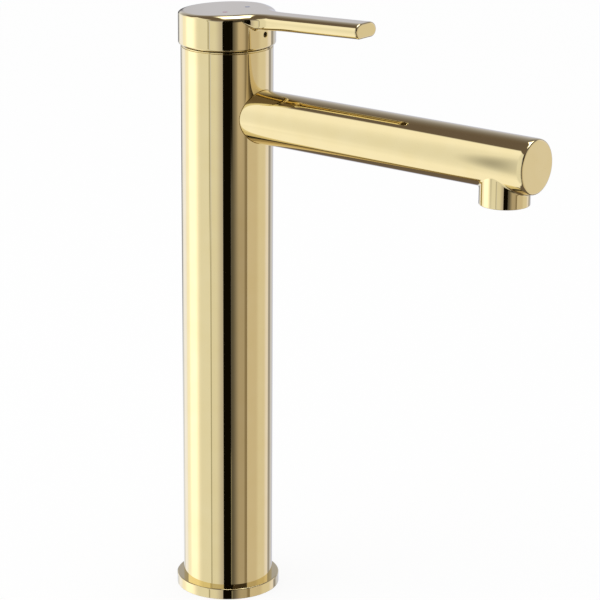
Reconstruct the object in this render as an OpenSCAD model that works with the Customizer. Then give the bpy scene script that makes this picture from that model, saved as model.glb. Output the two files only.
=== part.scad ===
// Single-lever basin mixer: a tall round column on a base flange, a straight round spout with an
// aerator nozzle, and a flat bar lever that grows out of a round hub over a ceramic disc cartridge.
// Millimetres. The origin is the centre of the flange's underside, +Z is up, +X runs along the spout.

/* [Column and base] */
// Height of the handle's top face above the deck, on the column's axis
top_h = 296.6; // [240:0.2:400]
// Outer diameter of the column
column_d = 45; // [45:0.5:54]
// Wall of the column below the cartridge housing
column_wall = 3; // [2.7:0.1:4]
// Wall of the column round the cartridge housing
seat_wall = 2.5; // [2.2:0.1:2.6]
// Thickness of the lip that holds the cover ring at the column's mouth
lip_wall = 1.3; // [1.1:0.1:1.4]
// Thickness of the base flange
flange_h = 5.4; // [4.4:0.1:10]
// How far the base flange stands out past the column
flange_overhang = 3.4; // [2.4:0.1:8]
// Rounding of the outer edges of the flange, the column's mouth and the spout's end
edge_r = 0.45; // [0.2:0.05:0.6]

/* [Spout] */
// Distance from the column's axis to the outlet's axis
outlet_reach = 162.4; // [100:0.2:220]
// Distance from the outlet's axis to the end of the spout
spout_nose = 17.1; // [15:0.1:30]
// Outer diameter of the spout
spout_d = 26; // [25.4:0.1:28]
// Wall of the spout tube
spout_wall = 1.5; // [1.2:0.1:1.6]
// Height of the spout's axis above the floor of the cartridge seat
spout_rise = 0.1; // [-0.5:0.1:0.5]
// Outer diameter of the outlet nozzle
nozzle_d = 23.6; // [23.4:0.1:24.6]
// How far the nozzle hangs below the spout
nozzle_drop = 6.8; // [6.8:0.1:16]
// Diameter of the aerator's thread in the nozzle
aerator_d = 21.2; // [20.6:0.1:21.6]

/* [Handle] */
// Height of the hub from its rim to its top face, on the axis
hub_h = 16.6; // [16:0.1:22]
// Wall of the hub's skirt
skirt_wall = 1.35; // [1:0.05:2]
// Height of the shadow gap between the hub's rim and the column
seam_gap = 1.1; // [0.9:0.1:1.6]
// Reach of the lever's tip from the column's axis
lever_reach = 83.4; // [60:0.2:120]
// Width of the lever
lever_w = 16; // [13:0.1:18]
// Thickness of the lever
lever_t = 7.4; // [6:0.1:8]
// Upward slope of the hub's top face and the lever, in degrees
lever_slope = 2.6; // [0:0.1:4]
// Reach of the blend from the hub's wall out along the lever and to its sides
root_r = 8; // [4:0.1:9]
// How far that blend runs down the hub's wall below the lever
root_drop = 5.4; // [2:0.1:5.6]
// Rounding of the hub's top edge
hub_edge_r = 2; // [1:0.1:2.5]
// Rounding of the hub's lower rim
rim_r = 1.2; // [0.8:0.1:1.3]
// Diameter of the hot and cold marks
mark_d = 2.6; // [1.6:0.1:4]

/* [Motion] */
// Lift of the lever from closed to full flow, in degrees
lift_angle = 25; // [15:1:25]
// Turn of the lever to each side, in degrees
turn_angle = 50; // [30:1:50]
// Height of the hub's rim above the stem's pivot
rim_lift = 8; // [7.6:0.1:8.6]
// Distance from the stem's pivot down to the ball that moves the disc
stem_drop = 8; // [7.6:0.1:8.2]

/* [Cartridge] */
// Diameter of the cartridge body
cartridge_d = 35; // [34.8:0.1:35.1]
// Thickness of the fixed ceramic disc
fixed_disc_t = 4; // [3:0.1:5]
// Thickness of the moving ceramic disc
moving_disc_t = 3.75; // [3:0.05:5]
// Thickness of the cartridge's base plate
base_plate_t = 5.3; // [4.6:0.1:7]
// Radius of the circle on which the hot and cold ports lie
port_ring_r = 9.3; // [9.2:0.1:9.6]
// Diameter of the hot and cold ports
port_d = 4.4; // [3.6:0.1:4.6]
// Diameter of the stem's ball
ball_d = 5; // [4:0.1:5.2]
// Width of the stem between the sides of its slot
stem_w = 6; // [5:0.1:6.2]
// Depth of the stem along the lever
stem_l = 7; // [6:0.1:7.2]
// Width across flats of the stem's square head
head_w = 8; // [7:0.1:8.2]
// Diameter of the pivot pin
pin_d = 3; // [2.5:0.1:3.2]

/* [Supply] */
// Bore of the threaded supply inlets
inlet_d = 9; // [8:0.1:9.4]
// Depth of the threaded supply inlets
inlet_depth = 12; // [8:0.5:16]
// Bore of the threaded fixing holes
stud_hole_d = 6.8; // [5:0.1:7]
// Depth of the threaded fixing holes
stud_depth = 16; // [10:0.5:20]
// Distance between the two fixing holes
stud_spacing = 27; // [25:0.5:27.5]
// Outer diameter of the inner supply tubes
riser_d = 8; // [7:0.1:8.4]
// Wall of the inner supply tubes
riser_wall = 1; // [0.7:0.1:1.5]

/* [Clearances] */
// Static clearance between round pieces that are fixed in each other
fit = 0.05; // [0.02:0.01:0.08]
// Clearance of a shaft that turns in its bore
run = 0.08; // [0.03:0.01:0.1]
// Clearance between pieces that pass each other
gap = 0.3; // [0.2:0.05:0.4]
// Clearance between the hub's rim and the column's mouth as the lever swings
swing_gap = 0.2; // [0.15:0.05:0.5]

/* [Hidden] */
$fn = 96;

// Finishes
gold_c = "#DCC385";
brass_c = "#B9975B";
copper_c = "#B87350";
steel_c = "#9FA3A6";
rubber_c = "#2B2B2B";
ceramic_c = "#F1EEE6";
white_c = "#E8E8E4";
grey_c = "#8A8E92";
hot_c = "#B5524C";
cold_c = "#3C4C74";

// Small overlap that makes a cut run clear of a face
over = 1;

// Column
col_r = column_d / 2;
rim_z = top_h - hub_h;
col_top = rim_z - seam_gap;
bore_r = col_r - column_wall;
seat_r = col_r - seat_wall;
lip_r = col_r - lip_wall;
flange_r = col_r + flange_overhang;

// Handle: the skirt's inner radius keeps the rim swing_gap clear of the column's mouth
pivot_z = rim_z - rim_lift;
mouth_rise = rim_lift - seam_gap;
skirt_r = sqrt(pow(col_r + swing_gap, 2) + pow(mouth_rise, 2) - pow(rim_lift, 2));
hub_r = skirt_r + skirt_wall;
socket_lift = 3.8;
socket_z = rim_z + socket_lift;
socket_depth = 8.9;
head_lead = 1.2;
head_play = 0.4;
boss_r = 7.5;
roof_lift = 11.5;
skirt_roof_z = rim_z + roof_lift;
screw_rise = 3.2;
screw_z = socket_z + screw_rise;
screw_r = 1.25;
screw_inset = 1.6;
screw_boss_r = 2.9;
hex_r = 0.75;
hex_depth = 2;
screw_start = head_w / 2 + 2 * fit;
screw_l = hub_r - screw_inset - screw_start;
mark_x = 5.7;
mark_y = 8.5;
mark_t = 0.6;

// Cartridge, stacked down from the pivot
ball_r = ball_d / 2;
ball_z = pivot_z - stem_drop;
pocket_gap = 0.25;
pocket_play = 0.4;
carrier_rise = 2.3;
carrier_floor = 1.2;
pocket_z = ball_z - ball_r - pocket_play;
carrier_top = ball_z + carrier_rise;
carrier_z = pocket_z - carrier_floor;
moving_disc_z = carrier_z - moving_disc_t;
film = 0.05;
fixed_disc_z = moving_disc_z - film - fixed_disc_t;
plate_z = fixed_disc_z - base_plate_t;
floor_z = plate_z - gap;
cart_r = cartridge_d / 2;
shell_wall = 2.2;
cavity_r = cart_r - shell_wall;
turret_z = carrier_top + gap;
turret_flange_t = 2.5;
pin_inset = 0.7;
turret_r = 9.5;
turret_flange_inset = 1.1;
turret_flange_r = cavity_r - turret_flange_inset;
turret_lift = 7;
turret_top = pivot_z + turret_lift;
ceiling_z = turret_z + turret_flange_t + gap;
shoulder_t = 4.3;
shoulder_z = ceiling_z + shoulder_t;
neck_r = 12;
stem_foot = 3.6;
finger_r = 1.6;
neck_inset = 0.2;
neck_top = turret_top - neck_inset;
plate_rim_r = cart_r - neck_inset;
plate_rim_t = 3;
stop_pocket_r = cavity_r - 0.1;
lug_half_angle = 30;
stop_slack = 2;

// The disc slides in proportion to the lift and is centred on its travel
disc_travel = stem_drop * lift_angle * PI / 180;
disc_clearance = 0.35;
disc_rim = 0.7;
disc_r = cavity_r - disc_travel / 2 - disc_clearance;
carrier_r = disc_r - disc_rim;
disc_x = -disc_travel / 2;
chamber_land = 0.2;
chamber_r = port_ring_r - port_d / 2 - chamber_land;
chamber_depth = 2.2;
rib_y = 8;
rib_w = 1.6;
rib_l = 10;
rib_drop = 1.2;

// Ports
port_angle = 45;
outlet_port_x = -3;
outlet_port_r = 3.2;
port_seal_wall = 1.4;
port_seal_t = 1.6;
peg_r = 1.5;
peg_l = 2.5;
peg_x = -6;
peg_y = 12;

// Cartridge housing
housing_r = seat_r - fit;
housing_drop = 26.5;
housing_z = floor_z - housing_drop;
housing_inset = 0.5;
housing_top = col_top - housing_inset;
nut_overlap = 1;
neck_clearance = 0.35;
nut_r = cart_r + nut_overlap;
nut_hole_r = neck_r + neck_clearance;
nut_h = 5.6;
nut_slot_w = 4;
nut_slot_t = 2;
riser_r = riser_d / 2;
socket_r = riser_r + fit;
riser_socket_depth = 12;
riser_seat_z = housing_z + riser_socket_depth;
riser_seal_rise = 5;
riser_seal_r = 0.5;
housing_seal_r = 0.6;
housing_seal_rise = 4;
housing_seal_z = housing_z + housing_seal_rise;

// Spout
spout_r = spout_d / 2;
spout_in_r = spout_r - spout_wall;
spout_z = floor_z + spout_rise;
spout_end = outlet_reach + spout_nose;
cap_t = 2.5;
cap_spigot = 4;
duct_r = 2.8;
duct_half_h = 2.2;
coupling_hole_r = 3.6;
spigot_r = 5.3;
duct_z = spout_z - (spout_in_r - 2 * fit - spigot_r);
spigot_depth = 4;
spigot_x = seat_r - spigot_depth;
coupling_x = seat_r + gap;
coupling_l = 7;
coupling_seal_rise = 1.8;
coupling_seal_x = spigot_x + coupling_seal_rise;
coupling_seal_r = 0.5;

// Nozzle and aerator
nozzle_r = nozzle_d / 2;
spout_low_z = spout_z - spout_r;
nozzle_z = spout_low_z - nozzle_drop;
outlet_hole_r = 8.6;
aerator_r = aerator_d / 2;
aerator_seat_z = spout_low_z - gap;
aerator_seal_t = 0.9;
aerator_inset = 0.6;
aerator_wall = 1.3;
aerator_z = nozzle_z + aerator_inset;
aerator_top = aerator_seat_z - aerator_seal_t - fit;
aerator_in_r = aerator_r - aerator_wall;
aerator_lip_r = aerator_in_r - 1;
aerator_lip_t = 0.9;
screen_t = 1;
honeycomb_z = aerator_z + aerator_lip_t;
honeycomb_top = aerator_top - screen_t;
cell_pitch = 2.7;
cell_r = 1.35;
cell_margin = 0.2;
key_w = 2.4;
key_t = 0.7;
screen_hole_r = 0.55;
screen_rings = 4;
screen_pitch = 2;

// Base
spigot_wall = 1.65;
flange_bore_r = bore_r - spigot_wall;
flange_spigot = 2.6;
flange_seal_r = 0.5;
block_z = flange_h + flange_spigot;
block_h = 26;
block_top = block_z + block_h;
block_r = bore_r - fit;
riser_foot_depth = 10;
riser_foot_z = block_top - riser_foot_depth;
gasket_t = 1.5;
gasket_inset = 0.5;
gasket_margin = 1.5;
gasket_in_r = bore_r + gasket_inset;
gasket_out_r = flange_r - gasket_margin;

// Cover ring at the column's mouth
ring_gap = 0.1;
ring_skirt_t = 2.4;
ring_overlap = 1.15;
ring_out_r = skirt_r - gap - fit;
ring_hole_r = nut_hole_r + ring_overlap;
ring_edge_z = rim_z - ring_gap;
ring_crown = 1.6;
ring_t = 1;
ring_seal_r = 0.45;
ring_seal_z = col_top - ring_skirt_t - ring_seal_r - fit;
lip_z = ring_seal_z - ring_seal_r - fit;

// ---------- helpers ----------

// Ring between two radii and two heights
module ring(outer, inner, low, high)
    rotate_extrude()
    translate([inner, low])
    square([outer - inner, high - low]);

// Upright cylinder between two heights
module post(radius, low, high)
    translate([0, 0, low])
    cylinder(r = radius, h = high - low);

// Cylinder along X between two places, at a height
module bar_x(radius, from, to, height)
    translate([from, 0, height])
    rotate([0, 90, 0])
    cylinder(r = radius, h = to - from);

// Round seal on a circle
module o_ring(radius, section)
    rotate_extrude()
    translate([radius, 0])
    circle(section);

// Profile of a disc whose upper outer edge is rounded
module soft_disc(radius, height, edge) {
    square([radius - edge, height]);
    square([radius, height - edge]);
    translate([radius - edge, height - edge])
        circle(edge);
}

// Places its children on the axes of the cold (+Y) and hot (-Y) ports
module at_port(side)
    translate([port_ring_r * cos(port_angle), side * port_ring_r * sin(port_angle), 0])
    children();

// Tilts its children about Y to the slope of the handle's top face
module on_top_plane()
    translate([0, 0, top_h])
    rotate([0, -lever_slope, 0])
    children();

// ---------- base and column ----------

module base_flange()
    color(gold_c)
    difference() {
        union() {
            rotate_extrude()
                soft_disc(flange_r, flange_h, edge_r);
            post(bore_r - fit, 0, block_z);
        }
        post(flange_bore_r, -over, block_z + over);
        ring(gasket_out_r + fit, gasket_in_r - fit, -over, gasket_t + fit);
        ring(bore_r + over, bore_r - 1.5 * fit - 2 * flange_seal_r, flange_h + gap,
             flange_h + gap + 2 * flange_seal_r + fit);
    }

module base_gasket()
    color(rubber_c)
    ring(gasket_out_r, gasket_in_r, 0, gasket_t);

module flange_o_ring()
    color(rubber_c)
    translate([0, 0, flange_h + gap + flange_seal_r + fit / 2])
    o_ring(bore_r - fit / 2 - flange_seal_r, flange_seal_r);

module inlet_block()
    color(brass_c)
    difference() {
        post(block_r, block_z, block_top);
        for (side = [-1, 1])
            at_port(side) {
                post(inlet_d / 2, block_z - over, block_z + inlet_depth);
                post(port_d / 2, block_z, block_top);
                post(socket_r, riser_foot_z, block_top + over);
                translate([0, 0, riser_foot_z + riser_seal_rise])
                    ring(socket_r + 2 * riser_seal_r + fit, riser_r / 2,
                         -riser_seal_r - fit, riser_seal_r + fit);
            }
        for (side = [-1, 1])
            translate([side * stud_spacing / 2, 0, 0])
                post(stud_hole_d / 2, block_z - over, block_z + stud_depth);
    }

module column()
    color(gold_c)
    difference() {
        translate([0, 0, flange_h])
            rotate_extrude()
            soft_disc(col_r, col_top - flange_h, edge_r);
        post(bore_r, flange_h - over, col_top);
        post(seat_r, housing_z, col_top);
        post(lip_r, lip_z, col_top + over);
        bar_x(spout_r + fit, bore_r / 2, col_r + over, spout_z);
    }

module riser_tube(side)
    color(copper_c)
    at_port(side)
    ring(riser_r, riser_r - riser_wall, riser_foot_z + gap, riser_seat_z - gap);

module hot_riser()
    riser_tube(-1);

module cold_riser()
    riser_tube(1);

module riser_seals()
    color(rubber_c)
    for (side = [-1, 1])
        for (height = [riser_foot_z + riser_seal_rise, housing_z + riser_seal_rise])
            at_port(side)
                translate([0, 0, height])
                o_ring(riser_r + fit + riser_seal_r, riser_seal_r);

// ---------- cartridge housing ----------

module cartridge_housing()
    color(brass_c)
    difference() {
        post(housing_r, housing_z, housing_top);
        post(cart_r + 2 * fit, floor_z, housing_top + over);
        post(nut_r + fit, shoulder_z - gap, housing_top + over);
        for (side = [-1, 1]) {
            at_port(side) {
                post(port_d / 2, housing_z, floor_z + over);
                post(socket_r, housing_z - over, riser_seat_z);
                translate([0, 0, housing_z + riser_seal_rise])
                    ring(socket_r + 2 * riser_seal_r + fit, riser_r / 2,
                         -riser_seal_r - fit, riser_seal_r + fit);
            }
            translate([peg_x, side * peg_y, 0])
                post(peg_r + fit, floor_z - peg_l, floor_z + over);
        }
        translate([outlet_port_x, 0, 0])
            post(outlet_port_r, duct_z - duct_half_h, floor_z + over);
        for (side = [-1, 1])
            bar_x(duct_r, outlet_port_x, seat_r + over, duct_z + side * duct_half_h);
        translate([outlet_port_x, -duct_r, duct_z - duct_half_h])
            cube([seat_r + over - outlet_port_x, 2 * duct_r, 2 * duct_half_h]);
        bar_x(spigot_r + fit, spigot_x - gap, seat_r + over, duct_z);
        translate([0, 0, housing_seal_z])
            ring(housing_r + over, housing_r - 2 * housing_seal_r,
                 -housing_seal_r - fit, housing_seal_r + fit);
    }

module housing_o_ring()
    color(rubber_c)
    translate([0, 0, housing_seal_z])
    o_ring(housing_r - housing_seal_r + fit / 2, housing_seal_r - fit / 2);

// ---------- spout ----------

module spout_tube()
    color(gold_c)
    difference() {
        bar_x(spout_r, bore_r / 2, spout_end - cap_t, spout_z);
        bar_x(spout_in_r, 0, spout_end, spout_z);
        post(seat_r + fit, spout_z - spout_d, spout_z + spout_d);
        translate([outlet_reach, 0, 0])
            post(outlet_hole_r, nozzle_z, spout_z);
    }

module spout_end_cap()
    color(gold_c)
    union() {
        translate([spout_end - cap_t, 0, spout_z])
            rotate([0, 90, 0])
            rotate_extrude()
            soft_disc(spout_r, cap_t, edge_r);
        bar_x(spout_in_r - fit, spout_end - cap_t - cap_spigot, spout_end - cap_t, spout_z);
    }

module spout_coupling()
    color(brass_c)
    difference() {
        union() {
            bar_x(spout_in_r - fit, coupling_x, coupling_x + coupling_l, spout_z);
            bar_x(spigot_r, spigot_x, coupling_x + over, duct_z);
        }
        bar_x(coupling_hole_r, spigot_x - over, coupling_x + coupling_l + over, duct_z);
        translate([coupling_seal_x, 0, duct_z])
            rotate([0, 90, 0])
            ring(spigot_r + over, spigot_r - 2 * coupling_seal_r,
                 -coupling_seal_r - fit, coupling_seal_r + fit);
    }

module coupling_o_ring()
    color(rubber_c)
    translate([coupling_seal_x, 0, duct_z])
    rotate([0, 90, 0])
    o_ring(spigot_r - coupling_seal_r + fit / 2, coupling_seal_r - fit / 2);

module outlet_nozzle()
    color(gold_c)
    difference() {
        translate([outlet_reach, 0, 0])
            difference() {
                post(nozzle_r, nozzle_z, spout_z);
                post(outlet_hole_r, nozzle_z - over, spout_z);
                post(aerator_r + fit, nozzle_z - over, aerator_seat_z);
            }
        bar_x(spout_r + fit / 2, outlet_reach - spout_d, outlet_reach + spout_d, spout_z);
    }

module aerator_housing()
    color(steel_c)
    translate([outlet_reach, 0, 0])
    difference() {
        post(aerator_r, aerator_z, aerator_top);
        post(aerator_lip_r, aerator_z - over, aerator_top);
        post(aerator_in_r, aerator_z + aerator_lip_t, aerator_top + over);
        for (turn = [0, 90])
            rotate([0, 0, turn])
                translate([-aerator_r - over, -key_w / 2, aerator_z - over])
                cube([2 * (aerator_r + over), key_w, key_t + over]);
    }

// Hexagonal cells on a triangular grid, as far as they fit in the disc
module honeycomb_cells(low, high)
    for (row = [-4:4])
        for (col = [-4:4]) {
            x = (col + row / 2) * cell_pitch;
            y = row * cell_pitch * sin(60);
            if (norm([x, y]) + cell_r < aerator_in_r - cell_margin)
                translate([x, y, low])
                    rotate([0, 0, 30])
                    cylinder(r = cell_r, h = high - low, $fn = 6);
        }

module aerator_honeycomb()
    color(white_c)
    translate([outlet_reach, 0, 0])
    difference() {
        post(aerator_in_r - fit, honeycomb_z, honeycomb_top);
        honeycomb_cells(honeycomb_z - over, honeycomb_top + over);
    }

module aerator_screen()
    color(grey_c)
    translate([outlet_reach, 0, 0])
    difference() {
        post(aerator_in_r - fit, honeycomb_top, aerator_top);
        for (k = [1:screen_rings - 1])
            for (i = [0:6 * k - 1])
                rotate([0, 0, 60 * i / k])
                    translate([k * screen_pitch, 0, 0])
                    post(screen_hole_r, honeycomb_top - over, aerator_top + over);
    }

module aerator_seal()
    color(rubber_c)
    translate([outlet_reach, 0, 0])
    ring(aerator_r, aerator_in_r - aerator_inset, aerator_top + fit / 2, aerator_seat_z - fit / 2);

// ---------- cartridge ----------

module cartridge_base()
    color(white_c)
    difference() {
        union() {
            post(plate_rim_r, plate_z, plate_z + plate_rim_t);
            post(cavity_r - fit, plate_z, fixed_disc_z);
            for (side = [-1, 1])
                translate([peg_x, side * peg_y, 0])
                    post(peg_r, floor_z - peg_l + gap, plate_z + over);
        }
        for (side = [-1, 1])
            at_port(side) {
                post(port_d / 2, plate_z - over, fixed_disc_z + over);
                post(port_d / 2 + port_seal_wall + fit, plate_z - over, floor_z + port_seal_t + fit);
            }
        translate([outlet_port_x, 0, 0]) {
            post(outlet_port_r, plate_z - over, fixed_disc_z + over);
            post(outlet_port_r + port_seal_wall + fit, plate_z - over, floor_z + port_seal_t + fit);
        }
    }

module port_seals()
    color(rubber_c)
    union() {
        for (side = [-1, 1])
            at_port(side)
                ring(port_d / 2 + port_seal_wall, port_d / 2 + fit, floor_z, floor_z + port_seal_t);
        translate([outlet_port_x, 0, 0])
            ring(outlet_port_r + port_seal_wall, outlet_port_r + fit, floor_z, floor_z + port_seal_t);
    }

module fixed_disc()
    color(ceramic_c)
    difference() {
        post(cavity_r - 2 * fit, fixed_disc_z, fixed_disc_z + fixed_disc_t);
        for (side = [-1, 1])
            at_port(side)
                post(port_d / 2, fixed_disc_z - over, fixed_disc_z + fixed_disc_t + over);
        translate([outlet_port_x, 0, 0])
            post(outlet_port_r, fixed_disc_z - over, fixed_disc_z + fixed_disc_t + over);
    }

module moving_disc()
    color(ceramic_c)
    difference() {
        translate([disc_x, 0, 0])
            post(disc_r, moving_disc_z, carrier_z);
        post(chamber_r, moving_disc_z - over, moving_disc_z + chamber_depth);
    }

module disc_carrier()
    color(grey_c)
    difference() {
        translate([disc_x, 0, 0])
            post(carrier_r, carrier_z, carrier_top);
        translate([-ball_r - pocket_gap, -ball_r - run, pocket_z])
            cube([ball_d + 2 * pocket_gap, ball_d + 2 * run, carrier_top - pocket_z + over]);
        for (side = [-1, 1])
            translate([-carrier_r - disc_travel, side * rib_y - rib_w / 2 - gap,
                       carrier_top - rib_drop - gap])
                cube([2 * (carrier_r + disc_travel), rib_w + 2 * gap, rib_drop + gap + over]);
    }

module cartridge_shell()
    color(grey_c)
    difference() {
        union() {
            post(cart_r, plate_z + plate_rim_t, shoulder_z);
            post(neck_r, shoulder_z, neck_top);
        }
        post(cavity_r, plate_z, turret_z - gap);
        post(turret_flange_r + gap, plate_z, ceiling_z);
        rotate_extrude(start = 180 - turn_angle - lug_half_angle,
                       angle = 2 * (turn_angle + lug_half_angle))
            translate([turret_flange_r / 2, turret_z - over])
            square([stop_pocket_r - turret_flange_r / 2, ceiling_z - turret_z + over]);
        post(turret_r + run, plate_z, neck_top + over);
    }

module retaining_nut()
    color(brass_c)
    difference() {
        ring(nut_r, nut_hole_r, shoulder_z, shoulder_z + nut_h);
        for (turn = [0, 90])
            rotate([0, 0, turn])
                translate([-nut_r - over, -nut_slot_w / 2, shoulder_z + nut_h - nut_slot_t])
                cube([2 * (nut_r + over), nut_slot_w, nut_slot_t + over]);
    }

// ---------- cover ring ----------

// Centre height and radius of the shallow dome through the ring's outer and inner edges
dome_top_z = ring_edge_z + ring_crown;
dome_c = (pow(dome_top_z, 2) - pow(ring_edge_z, 2) + pow(ring_hole_r, 2) - pow(ring_out_r, 2))
    / (2 * ring_crown);
dome_r = norm([ring_out_r, ring_edge_z - dome_c]);

module cover_ring()
    color(gold_c)
    rotate_extrude() {
        translate([housing_r + 3 * fit, col_top - ring_skirt_t])
            square([lip_r - housing_r - 5 * fit, ring_skirt_t]);
        translate([housing_r + 3 * fit, col_top])
            square([ring_out_r - housing_r - 3 * fit, ring_edge_z - ring_t / 2 - col_top]);
        intersection() {
            translate([0, dome_c])
                difference() {
                    circle(dome_r, $fn = 256);
                    circle(dome_r - ring_t, $fn = 256);
                }
            translate([ring_hole_r, col_top])
                square([ring_out_r - ring_hole_r, 2 * ring_crown + seam_gap]);
        }
    }

module cover_ring_seal()
    color(rubber_c)
    translate([0, 0, ring_seal_z])
    o_ring((housing_r + lip_r) / 2, ring_seal_r);

// ---------- turning and lifting parts ----------

// Side view of the slot that the stem swings through, from the lift angle and the stem's depth
turret_rise = turret_top - pivot_z;
slot_heel = 1.5;
swung = stem_l / 2 / cos(lift_angle);
slot_back = swung + turret_rise * tan(lift_angle) + gap;
slot_front = stem_l / 2 * cos(lift_angle) + stem_foot * sin(lift_angle) + gap;

module stem_slot()
    rotate([90, 0, 0])
    linear_extrude(height = stem_w + 2 * gap, center = true)
    polygon([
        [-swung - gap, turret_z - pivot_z - over],
        [-swung - gap, 0],
        [-slot_back, turret_rise],
        [-slot_back, turret_rise + over],
        [swung + gap / 2, turret_rise + over],
        [swung + gap, 0],
        [slot_front, -slot_heel],
        [slot_front, turret_z - pivot_z - over]
    ]);

module stem_turret()
    color(white_c)
    difference() {
        union() {
            post(turret_r, turret_z, turret_top);
            post(turret_flange_r, turret_z, turret_z + turret_flange_t);
            rotate_extrude(start = 180 - lug_half_angle + stop_slack,
                           angle = 2 * (lug_half_angle - stop_slack))
                translate([turret_flange_r / 2, turret_z])
                square([cavity_r - gap - turret_flange_r / 2, turret_flange_t]);
            for (side = [-1, 1])
                translate([-rib_l / 2, side * rib_y - rib_w / 2, turret_z - gap - rib_drop])
                    cube([rib_l, rib_w, rib_drop + gap + over]);
        }
        translate([0, 0, pivot_z])
            stem_slot();
        translate([0, 0, pivot_z])
            rotate([90, 0, 0])
            cylinder(r = pin_d / 2 + fit, h = 3 * turret_r, center = true);
    }

module pivot_pin()
    color(steel_c)
    translate([0, 0, pivot_z])
    rotate([90, 0, 0])
    cylinder(r = pin_d / 2, h = 2 * (turret_r - pin_inset), center = true);

module stem()
    color(steel_c)
    difference() {
        union() {
            translate([-stem_l / 2, -stem_w / 2, pivot_z - stem_foot])
                cube([stem_l, stem_w, socket_z - pivot_z + stem_foot]);
            translate([-head_w / 2, -head_w / 2, socket_z - head_lead])
                cube([head_w, head_w, socket_depth + head_lead - head_play]);
            post(finger_r, ball_z, pivot_z);
            translate([0, 0, ball_z])
                sphere(ball_r);
        }
        translate([0, 0, pivot_z])
            rotate([90, 0, 0])
            cylinder(r = pin_d / 2 + run, h = 2 * stem_w, center = true);
    }

// ---------- handle ----------

// Cross-section of the lever, flat above and below with round sides, as [y, z] points
side_steps = 12;
function bar_section(half_w, depth, drop = 0) =
    let (r = depth / 2)
    concat(
        [for (i = [0:side_steps]) let (a = -90 + 180 * i / side_steps)
            [half_w - r + r * cos(a), -drop - r + r * sin(a)]],
        [for (i = [0:side_steps]) let (a = 90 + 180 * i / side_steps)
            [-half_w + r + r * cos(a), -drop - r + r * sin(a)]]
    );

// Bends a section round the hub's wall, offset outwards
function round_hub(section, offset) =
    [for (p = section) [sqrt(pow(hub_r + offset, 2) - pow(p[0], 2)), p[0], p[1]]];

// Stands a section flat across the lever
function across(section, x) =
    [for (p = section) [x, p[0], p[1]]];

// The lever: blended out of the hub's wall by a quarter round, then straight to its softened tip
root_steps = 8;
blend_start = 15;
lever_stations = concat(
    [across(bar_section(lever_w / 2 + root_r, lever_t + root_drop), skirt_r * cos(45))],
    [for (i = [0:root_steps])
        let (a = blend_start + (90 - blend_start) * i / root_steps, flare = 1 - sin(a))
        round_hub(bar_section(lever_w / 2 + root_r * flare, lever_t + root_drop * flare),
                  root_r * (1 - cos(a)))],
    [across(bar_section(lever_w / 2, lever_t), lever_reach - edge_r)],
    [across(bar_section(lever_w / 2 - edge_r, lever_t - 2 * edge_r, edge_r), lever_reach)]
);

// Closed skin through a list of sections with equal numbers of points
module loft(sections) {
    count = len(sections[0]);
    last = len(sections) - 1;
    polyhedron(
        points = [for (s = sections) for (p = s) p],
        faces = concat(
            [[for (i = [0:count - 1]) i]],
            [[for (i = [count - 1:-1:0]) last * count + i]],
            [for (s = [0:last - 1]) for (i = [0:count - 1])
                let (a = s * count + i, b = s * count + (i + 1) % count)
                each [[a, b + count, b], [a, a + count, b + count]]]
        )
    );
}

// Outside of the hub: an upright wall with a rounded lower rim, under a sloped top with a soft edge
module hub_outside() {
    intersection() {
        rotate_extrude() {
            translate([0, rim_z])
                square([hub_r - rim_r, hub_h + hub_r]);
            translate([0, rim_z + rim_r])
                square([hub_r, hub_h + hub_r]);
            translate([hub_r - rim_r, rim_z + rim_r])
                circle(rim_r);
        }
        on_top_plane()
            rotate_extrude() {
                translate([0, -2 * hub_h])
                    square([hub_r - hub_edge_r, 2 * hub_h]);
                translate([hub_r - hub_edge_r, -hub_edge_r])
                    circle(hub_edge_r);
                translate([0, -2 * hub_h])
                    square([2 * hub_r, 2 * hub_h - hub_edge_r]);
            }
    }
}

module handle()
    color(gold_c)
    difference() {
        union() {
            difference() {
                union() {
                    hub_outside();
                    on_top_plane()
                        loft(lever_stations);
                }
                post(skirt_r, rim_z - over, skirt_roof_z);
            }
            post(boss_r, socket_z, skirt_roof_z + over);
            bar_x(screw_boss_r, boss_r / 2, skirt_r + skirt_wall / 2, screw_z);
        }
        translate([-head_w / 2 - fit, -head_w / 2 - fit, socket_z - screw_boss_r])
            cube([head_w + 2 * fit, head_w + 2 * fit, socket_depth + screw_boss_r]);
        bar_x(screw_r + fit, 0, hub_r + root_r, screw_z);
        for (side = [-1, 1])
            on_top_plane()
                translate([mark_x, side * mark_y, 0])
                post(mark_d / 2 + fit, -mark_t, over);
    }

module grub_screw()
    color(steel_c)
    translate([screw_start, 0, screw_z])
    rotate([0, 90, 0])
    difference() {
        union() {
            cylinder(r1 = screw_r / 2, r2 = screw_r, h = screw_r / 2);
            translate([0, 0, screw_r / 2])
                cylinder(r = screw_r, h = screw_l - screw_r / 2);
        }
        translate([0, 0, screw_l - hex_depth])
            cylinder(r = hex_r, h = hex_depth + over, $fn = 6);
    }

module mark(side, colour)
    color(colour)
    on_top_plane()
    translate([mark_x, side * mark_y, 0])
    post(mark_d / 2, -mark_t, 0);

module hot_mark()
    mark(-1, hot_c);

module cold_mark()
    mark(1, cold_c);

base_flange();
base_gasket();
flange_o_ring();
inlet_block();
column();
hot_riser();
cold_riser();
riser_seals();
cartridge_housing();
housing_o_ring();
spout_tube();
spout_coupling();
coupling_o_ring();
spout_end_cap();
outlet_nozzle();
aerator_housing();
aerator_honeycomb();
aerator_screen();
aerator_seal();
cartridge_base();
port_seals();
fixed_disc();
cartridge_shell();
retaining_nut();
cover_ring();
cover_ring_seal();
stem_turret();
pivot_pin();
moving_disc();
disc_carrier();
stem();
handle();
grub_screw();
hot_mark();
cold_mark();
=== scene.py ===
"""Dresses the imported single-lever basin mixer: polished pale gold skins, studio and camera.

Lengths inside the classes are millimetres, and become metres when a mesh is made.
"""

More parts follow.
